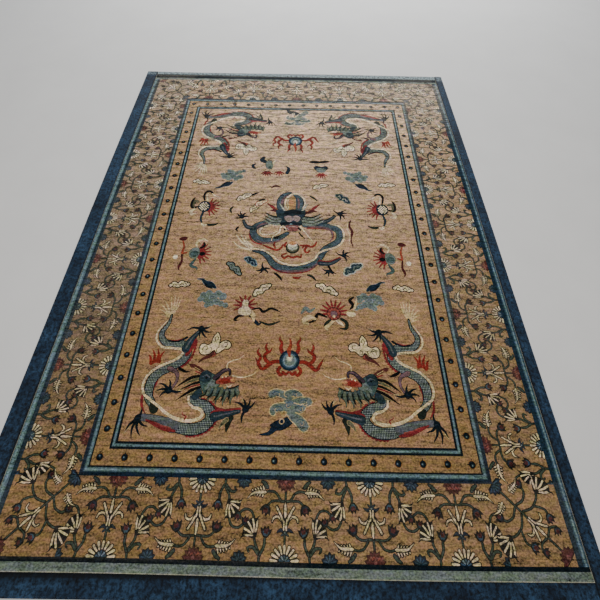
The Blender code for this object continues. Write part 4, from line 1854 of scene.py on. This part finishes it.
# %% a socket that can be added and multiplied
class Wire:
    def __init__(self, recipe, socket):
        self.recipe, self.socket = recipe, socket

    def _math(self, operation, a, b):
        return self.recipe.node("ShaderNodeMath", {"operation": operation}, {0: a, 1: b})

    def __add__(self, other):
        return self._math("ADD", self, other)

    def __sub__(self, other):
        return self._math("SUBTRACT", self, other)

    def __rsub__(self, other):
        return self._math("SUBTRACT", other, self)

    def __mul__(self, other):
        return self._math("MULTIPLY", self, other)

    __radd__, __rmul__ = __add__, __mul__

    def clamp(self, low, high):
        """This value, run from low to high, as 0 to 1."""
        limits = {"Value": self, "From Min": low, "From Max": high}
        return self.recipe.node("ShaderNodeMapRange", {"clamp": True}, limits)

    def sine_of(self, pitch, lean):
        """Waves across a place: one every `pitch` metres, leaning to the right (1) or to the left (-1)."""
        x, y = (self.recipe.node("ShaderNodeSeparateXYZ", inputs={0: self}, output=k) for k in (0, 1))
        along = (x + y * lean) * (2 * pi / pitch)
        return self.recipe.node("ShaderNodeMath", {"operation": "SINE"}, {0: along})

# %% a material made of nodes
class Recipe:
    """One material, with a method that makes any node."""

    def __init__(self, name, specular, sheen=0.0, sheen_roughness=0.4, sheen_tint=(1, 1, 1, 1)):
        self.material = bpy.data.materials.new(name)
        self.material.use_nodes = True
        self.tree = self.material.node_tree
        self.shader = self.tree.nodes["Principled BSDF"]
        for label, value in (
            ("Specular IOR Level", specular),
            ("Sheen Weight", sheen),
            ("Sheen Roughness", sheen_roughness),
            ("Sheen Tint", sheen_tint),
        ):
            self.shader.inputs[label].default_value = value

    def feed(self, socket, value):
        if isinstance(value, Wire):
            self.tree.links.new(value.socket, socket)
        else:
            socket.default_value = value

    def node(self, kind, settings=None, inputs=None, output=0):
        made = self.tree.nodes.new(kind)
        for key, value in (settings or {}).items():
            setattr(made, key, value)
        for key, value in (inputs or {}).items():
            self.feed(made.inputs[key], value)
        return Wire(self, made.outputs[output])

    def mix(self, amount, a, b, how="MIX"):
        """Two colours mixed; 0 gives the first."""
        settings = {"data_type": "RGBA", "blend_type": how}
        return self.node("ShaderNodeMix", settings, {0: amount, 6: a, 7: b}, 2)

    def scaled(self, x, y, z, seed=0.0):
        """Object coordinates, in metres, times these numbers."""
        spot = self.node("ShaderNodeTexCoord", output="Object")
        inputs = {"Vector": spot, "Scale": (x, y, z), "Location": (seed, seed * 1.7, 0.0)}
        return self.node("ShaderNodeMapping", inputs=inputs)

    def grain(self, x, y, z=1.0, seed=0.0, detail=2.0, rough=0.5):
        """Soft noise from 0 to 1, with that many lumps per metre along each axis."""
        inputs = {"Vector": self.scaled(x, y, z, seed), "Scale": 1.0, "Detail": detail, "Roughness": rough}
        return self.node("ShaderNodeTexNoise", inputs=inputs)

    def ribs(self, direction, pitch, seed=0.0, **more):
        """Fine even waves, `pitch` of them to a fixed length, along an axis or the diagonal."""
        inputs = {"Vector": self.scaled(1, 1, 1, seed), "Scale": pitch, **more}
        return self.node("ShaderNodeTexWave", {"bands_direction": direction}, inputs)

    def layer(self, name, output="Fac"):
        """A value or a colour that the mesh carries."""
        return self.node("ShaderNodeAttribute", {"attribute_name": name}, output=output)

    def brighten(self, colour, amount):
        """A colour times a value."""
        grey = self.node("ShaderNodeCombineColor", inputs={0: amount, 1: amount, 2: amount})
        return self.mix(1.0, colour, grey, "MULTIPLY")

    def bump(self, height, distance, strength):
        inputs = {"Height": height, "Distance": distance, "Strength": strength}
        return self.node("ShaderNodeBump", inputs=inputs)

    def finish(self, **inputs):
        for key, value in inputs.items():
            self.feed(self.shader.inputs[key.replace("_", " ")], value)
        return self.material


# %% [markdown]
# # Silk pile
#
# Knotted silk shows its rows: each weft line catches the light a little differently, and the dye lots change
# in bands across the rug.  The folds are painted paler on their crests, partly as rubbed wear and partly as
# painted highlight, and darker beside them as painted shade.  The colour comes from the yarn attribute and is
# only shaded by these.  The shader's own sheen is weak; the pale bloom towards the far end, where the pile is
# seen along its lie, is painted sheen in the yarn colours.

# %% the pile material
SCALE_PITCH = 0.0165


def silk_pile():
    silk = Recipe("silk_pile", 0.05, 0.02, sheen_roughness=0.3, sheen_tint=linear((255, 246, 232)))
    yarn, plain = silk.layer("yarn", "Color"), silk.layer("yarn", "Alpha")
    # lumps of every size, from single knots to dye lots; far runs from 0 to 1 up the rug
    knots = silk.grain(105, 125, seed=1.0, detail=1.0, rough=0.6).clamp(0.38, 0.62)
    coarse = silk.grain(26, 48, seed=6.0, detail=3.0, rough=0.8).clamp(0.38, 0.62)
    rows = silk.grain(7, 56, seed=3.0, detail=3.0, rough=0.8).clamp(0.38, 0.62)
    bands = silk.grain(1.2, 16, seed=11.0, detail=3.0, rough=0.7).clamp(0.36, 0.64)
    clouds = silk.grain(3.0, 3.6, seed=5.0, detail=4.0, rough=0.6).clamp(0.3, 0.7)
    hues = silk.grain(22, 34, seed=8.0, detail=3.0, rough=0.85).clamp(0.40, 0.60)
    bare = silk.grain(2.4, 60, seed=15.0, detail=2.0, rough=0.7).clamp(0.54, 0.68)
    tips = silk.grain(80, 120, seed=21.0, detail=1.0, rough=0.6).clamp(0.54, 0.68)
    far = silk.node("ShaderNodeSeparateXYZ", inputs={0: silk.scaled(1, 1, 1)}, output=1).clamp(-0.6, 1.6)
    shade = 0.04 + 0.66 * knots + (0.46 + 0.76 * far) * coarse + (0.40 + 0.76 * far) * rows
    shade = shade - 0.70 * far + 0.20 * bands + 0.20 * clouds - 0.34 * bare
    # the crease layer paints a highlight on the crests of the folds, partly rubbed wear, and painted shade
    # beside them
    shade = shade + 0.20 * silk.layer("crease") + 0.26 * tips
    golden = silk.mix(hues, (1.04, 0.95, 1.05, 1.0), (1.05, 1.04, 0.78, 1.0))
    rosy = silk.mix(rows, (0.98, 1.04, 0.96, 1.0), (1.07, 0.96, 1.02, 1.0))
    right, left = (silk.scaled(1, 1, 1).sine_of(SCALE_PITCH, lean) for lean in (1, -1))
    scaly = silk.mix((right * left).clamp(-0.05, 0.35), linear((22, 34, 46)), yarn)
    dyed = silk.mix(1.0, silk.mix(plain, scaly, yarn), golden, "MULTIPLY")
    dyed = silk.mix(1.0, dyed, rosy, "MULTIPLY")
    colour = silk.mix(0.04 * tips, silk.brighten(dyed, shade), linear((150, 136, 112)))
    rough = 0.52 + 0.14 * clouds + 0.10 * rows
    bump = silk.bump(0.5 * rows + 0.5 * knots, 0.0012, 0.8)
    return silk.finish(Base_Color=colour, Roughness=rough, Normal=bump)


# %% [markdown]
# # Cotton back, blue cloth and thread
#
# The foundation is plain cotton weave.  The strips are a ribbed blue cotton, dyed unevenly, with a painted
# shadow in the seam beside the rug; the far strip is painted pale grey-blue as painted sheen.  The threads
# are smooth and a little glossy, with a twist.

# %% the other materials
def cotton_back():
    cotton = Recipe("cotton_back", 0.2, 0.15)
    weave_height = cotton.ribs("X", 95.0) * 0.5 + cotton.ribs("Y", 110.0) * 0.5
    stain = cotton.grain(4, 5, seed=2.0, detail=4.0)
    base = cotton.mix(stain.clamp(0.35, 0.7), linear((186, 170, 138)), linear((150, 132, 100)))
    colour = cotton.brighten(base, 0.75 + 0.3 * weave_height)
    bump = cotton.bump(weave_height, 0.0004, 0.6)
    return cotton.finish(Base_Color=colour, Roughness=0.78 + 0.12 * stain, Normal=bump)


def blue_cloth():
    cloth = Recipe("blue_cloth", 0.25, 0.10, sheen_tint=linear((200, 220, 240)))
    ribs = cloth.ribs("DIAGONAL", 170.0, 0.3, Distortion=1.2, Detail=1.0)
    fade = cloth.grain(7, 7, seed=4.0, detail=5.0, rough=0.65)
    flecks = cloth.grain(60, 60, seed=6.0, detail=2.0, rough=0.8).clamp(0.40, 0.60)
    slub = cloth.grain(90, 24, seed=9.0, detail=3.0, rough=0.7).clamp(0.3, 0.7)
    dye = cloth.mix(fade.clamp(0.36, 0.66), linear((14, 30, 48)), linear((42, 68, 94)))
    # painted sheen: where the layer is set, the blue goes pale grey-blue
    dyed = cloth.mix(cloth.layer("painted_sheen") * (0.75 + 0.25 * fade), dye, linear((150, 166, 168)))
    # the weave, flecks and slubs are the cloth's own; the seam layer darkens it by up to 88 percent beside
    # the rug as a painted shadow
    weave_and_seam_shadow = (-0.1 + 0.15 * ribs + 1.1 * flecks + 0.7 * slub) * (1 - 0.88 * cloth.layer("seam"))
    bump = cloth.bump(0.5 * ribs + 0.5 * slub, 0.0007, 0.7)
    return cloth.finish(Base_Color=cloth.brighten(dyed, weave_and_seam_shadow), Roughness=0.66 + 0.2 * fade, Normal=bump)


def thread(name, rgb, darker):
    silk = Recipe(name, 0.45, 0.2)
    worn = silk.grain(60, 60, 60, seed=2.0, detail=2.0)
    twist = silk.ribs("DIAGONAL", 900.0)
    dyed = silk.mix(worn.clamp(0.3, 0.7), linear(rgb), linear(darker))
    colour = silk.brighten(dyed, 0.8 + 0.3 * twist)
    return silk.finish(Base_Color=colour, Roughness=0.4 + 0.2 * worn, Normal=silk.bump(twist, 0.0002, 0.5))

# %% the materials on their pieces
PILE = silk_pile()
BACK = cotton_back()
CLOTH = blue_cloth()
EDGE_SILK = thread("edge_silk", (196, 186, 160), (160, 150, 124))
HEM_THREAD = thread("hem_thread", (40, 58, 78), (26, 40, 56))
for piece in piles:
    piece.data.materials.append(PILE)
foundation.data.materials.append(BACK)
for piece in strips.values():
    piece.data.materials.append(CLOTH)
print("materials:", ", ".join(sorted(m.name for m in bpy.data.materials)))
# %% sew the edge and the hems
edge_stitch = stitch_shape("edge_stitch", 0.0042, 0.0016, 0.0005, sides_count=5)
hem_stitch = stitch_shape("hem_stitch", 0.0060, 0.0012, 0.0004, sides_count=6)
EDGE_PITCH, EDGE_SLANT, HEM_PITCH, HEM_IN = 0.0032, 1.25, 0.0105, 0.0085


def rim_line(inset, height):
    """Once round the rug, this far in from its rim."""
    x, y = RUG_WIDTH / 2 - inset, RUG_LENGTH / 2 - inset
    around = [(t, -y) for t in steps(-x, x, 0.02)] + [(x, t) for t in steps(-y, y, 0.02)[1:]]
    around += [(t, y) for t in steps(x, -x, 0.02)[1:]] + [(-x, t) for t in steps(y, -y, 0.02)[1:]]
    return [(*lay(px, py), pile_top(px, py) + height) for px, py in around]


edge_line = guide("edge_line", rim_line(0.0016, -0.0005))
wrapping = sew("edge_wrapping", edge_line, edge_stitch, EDGE_PITCH, EDGE_SLANT, 3, EDGE_SILK)


def sew_hem(label, plan, seed):
    """A running stitch through places just inside the outer hem of a strip."""
    tops = [BAND_THICK * 0.94 + fold_height(x, y) * BAND_THICK / RUG_THICK for x, y in plan]
    line = guide("hem_line", [(*lay(x, y), top + 0.0002) for (x, y), top in zip(plan, tops)])
    return sew("hem_stitches_" + label, line, hem_stitch, HEM_PITCH, 0.0, seed, HEM_THREAD)


up_side = steps(low_end + 0.01, high_end - 0.01, 0.02)
across_end = steps(-half_x + 0.01, half_x - 0.01, 0.02)
left, right = (half_x + SEAM + wide - HEM_IN for wide in (BAND_LEFT, BAND_RIGHT))
near, far = (half_y + SEAM + wide - HEM_IN for wide in (BAND_NEAR, BAND_FAR))
seams = [
    sew_hem("left", [(-left, y) for y in up_side], 5),
    sew_hem("right", [(right, y) for y in up_side], 5),
    sew_hem("near", [(x, -near) for x in across_end], 6),
    sew_hem("far", [(x, far) for x in across_end], 6),
]
for shape in (edge_stitch, hem_stitch):
    bpy.data.objects.remove(shape)
# %% [markdown]
# # Maps for baking
#
# When the model is exported its colours are baked, and the pile pieces are so finely cut that an automatic
# map would waste most of its space.  A rug is flat, so a map straight from above is best.  The long end
# pieces are folded in two rows to fill the square.

# %% a map from above
# room round a piece, how far its skirt is spread out across and up, and the share of the square that is used
MAP_PAD, SPREAD_X, SPREAD_Y, MAP_USED = 0.02, 0.004, 0.006, 0.97


def outward(place):
    """1 or -1 near the sides of the square, on the way out, and 0 elsewhere."""
    return 1 if place > 0.3 else -1 if place < -0.3 else 0


def halved(u, v, second):
    """The two halves of a long piece, one above the other."""
    return (2 * u - 0.5, v * 0.49 + 0.25) if second else (2 * u + 0.5, v * 0.49 - 0.25)


def map_from_above(piece, area, fold):
    """Writes the UV map OFBake: true plan to square; fold is empty, or the axis that is cut in half."""
    x0, y0, x1, y1 = area
    mesh = piece.data
    layer = mesh.uv_layers.new(name="OFBake")
    wide, tall = (x1 - x0) / 1000 * (1 + MAP_PAD), (y1 - y0) / 1000 * (1 + MAP_PAD)
    cx, cy = MIDDLE_X + (x0 + x1) / 2000, MIDDLE_Y + (y0 + y1) / 2000
    values = array("f")
    for polygon in mesh.polygons:
        spots = [mesh.vertices[v].co for v in polygon.vertices]
        middle_x, middle_y = (sum(p[axis] for p in spots) / len(spots) for axis in (0, 1))
        for p in spots:
            down = ramp(RUG_THICK - p.z, 0.002, 0.006)
            u, v = (p.x - cx) / wide, (p.y - cy) / tall
            u, v = u + down * SPREAD_X * outward(u), v + down * SPREAD_Y * outward(v)
            if fold == "x":
                u, v = halved(u, v, middle_x > cx)
            if fold == "y":
                v, u = halved(v, u, middle_y > cy)
            values.extend((0.5 + MAP_USED * u, 0.5 + MAP_USED * v))
    layer.data.foreach_set("uv", values)


for piece in piles:
    area = PILES[piece.name]
    shape = (area[2] - area[0]) / (area[3] - area[1])
    map_from_above(piece, area, "" if 0.5 < shape < 2 else "x" if shape > 1 else "y")
print("mapped from above:", ", ".join(PILES))

# %% [markdown]
# # Who carries what
#
# Every piece rides on the rug's one body.  The pile and the foundation stand for the rug's solid, and each
# strip for its own.

# %% ride and replace
for piece in (*piles, foundation, *strips.values(), wrapping, *seams):
    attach(piece, "root")
for piece in (*piles, foundation, wrapping):
    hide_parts("rug")
for name, piece in strips.items():
    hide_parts(name.replace("strip_", "band_"))
print("%d pieces of the rug, %d of its binding" % (len(piles) + 2, len(strips) + len(seams)))

# %% floor, light and camera
floor_mesh = bpy.data.meshes.new("floor")
floor_mesh.from_pydata([(-30, -30, 0), (30, -30, 0), (30, 30, 0), (-30, 30, 0)], [], [(0, 1, 2, 3)])
floor = bpy.data.objects.new("floor", floor_mesh)
bpy.context.scene.collection.objects.link(floor)
floor.location.z = -0.0008
pale = Recipe("pale_floor", 0.1)
shade = pale.brighten(linear((240, 239, 236)), 0.94 + 0.1 * pale.grain(3, 3, detail=3.0))
floor.data.materials.append(pale.finish(Base_Color=shade, Roughness=0.9))


def soft_light(name, size, size_y, energy, at, towards, colour):
    lamp = bpy.data.lights.new(name, "AREA")
    lamp.shape, lamp.size, lamp.size_y = "RECTANGLE", size, size_y
    lamp.energy, lamp.color = energy, colour
    holder = bpy.data.objects.new(name, lamp)
    bpy.context.scene.collection.objects.link(holder)
    holder.location = at
    holder.rotation_euler = (Vector(towards) - Vector(at)).to_track_quat("-Z", "Y").to_euler()


soft_light("overhead", 5.0, 5.0, 105, (0, -0.5, 3.6), (0, 0, 0), (1.0, 0.96, 0.9))
soft_light("window", 6.0, 2.6, 300, (0.4, 5.6, 2.2), (0, 0.6, 0), (0.96, 0.98, 1.0))

EYE = (0.0393, -1.0441, 1.3714)
LOOK_DOWN, SWING, LEAN = radians(68.247), radians(-1.426), radians(2.268)
camera = bpy.data.cameras.new("eye")
camera.sensor_width, camera.lens = 36.0, 14.86
camera.clip_start = 0.05
eye = bpy.data.objects.new("eye", camera)
bpy.context.scene.collection.objects.link(eye)
eye.location = (MIDDLE_X + EYE[0], MIDDLE_Y + EYE[1], RUG_THICK + EYE[2])
swing, lean = Matrix.Rotation(SWING, 3, "Z"), Matrix.Rotation(LEAN, 3, "Z")
eye.rotation_euler = (swing @ Matrix.Rotation(pi / 2 - LOOK_DOWN, 3, "X") @ lean).to_euler()
bpy.context.scene.camera = eye
print("camera %.2f m above the rug, with a lens of %.1f mm" % (EYE[2], camera.lens))

world = bpy.data.worlds.new("room")
bpy.context.scene.world = world
world.use_nodes = True
sky = world.node_tree.nodes["Background"].inputs
sky["Color"].default_value, sky["Strength"].default_value = (0.90, 0.93, 1.0, 1.0), 0.22
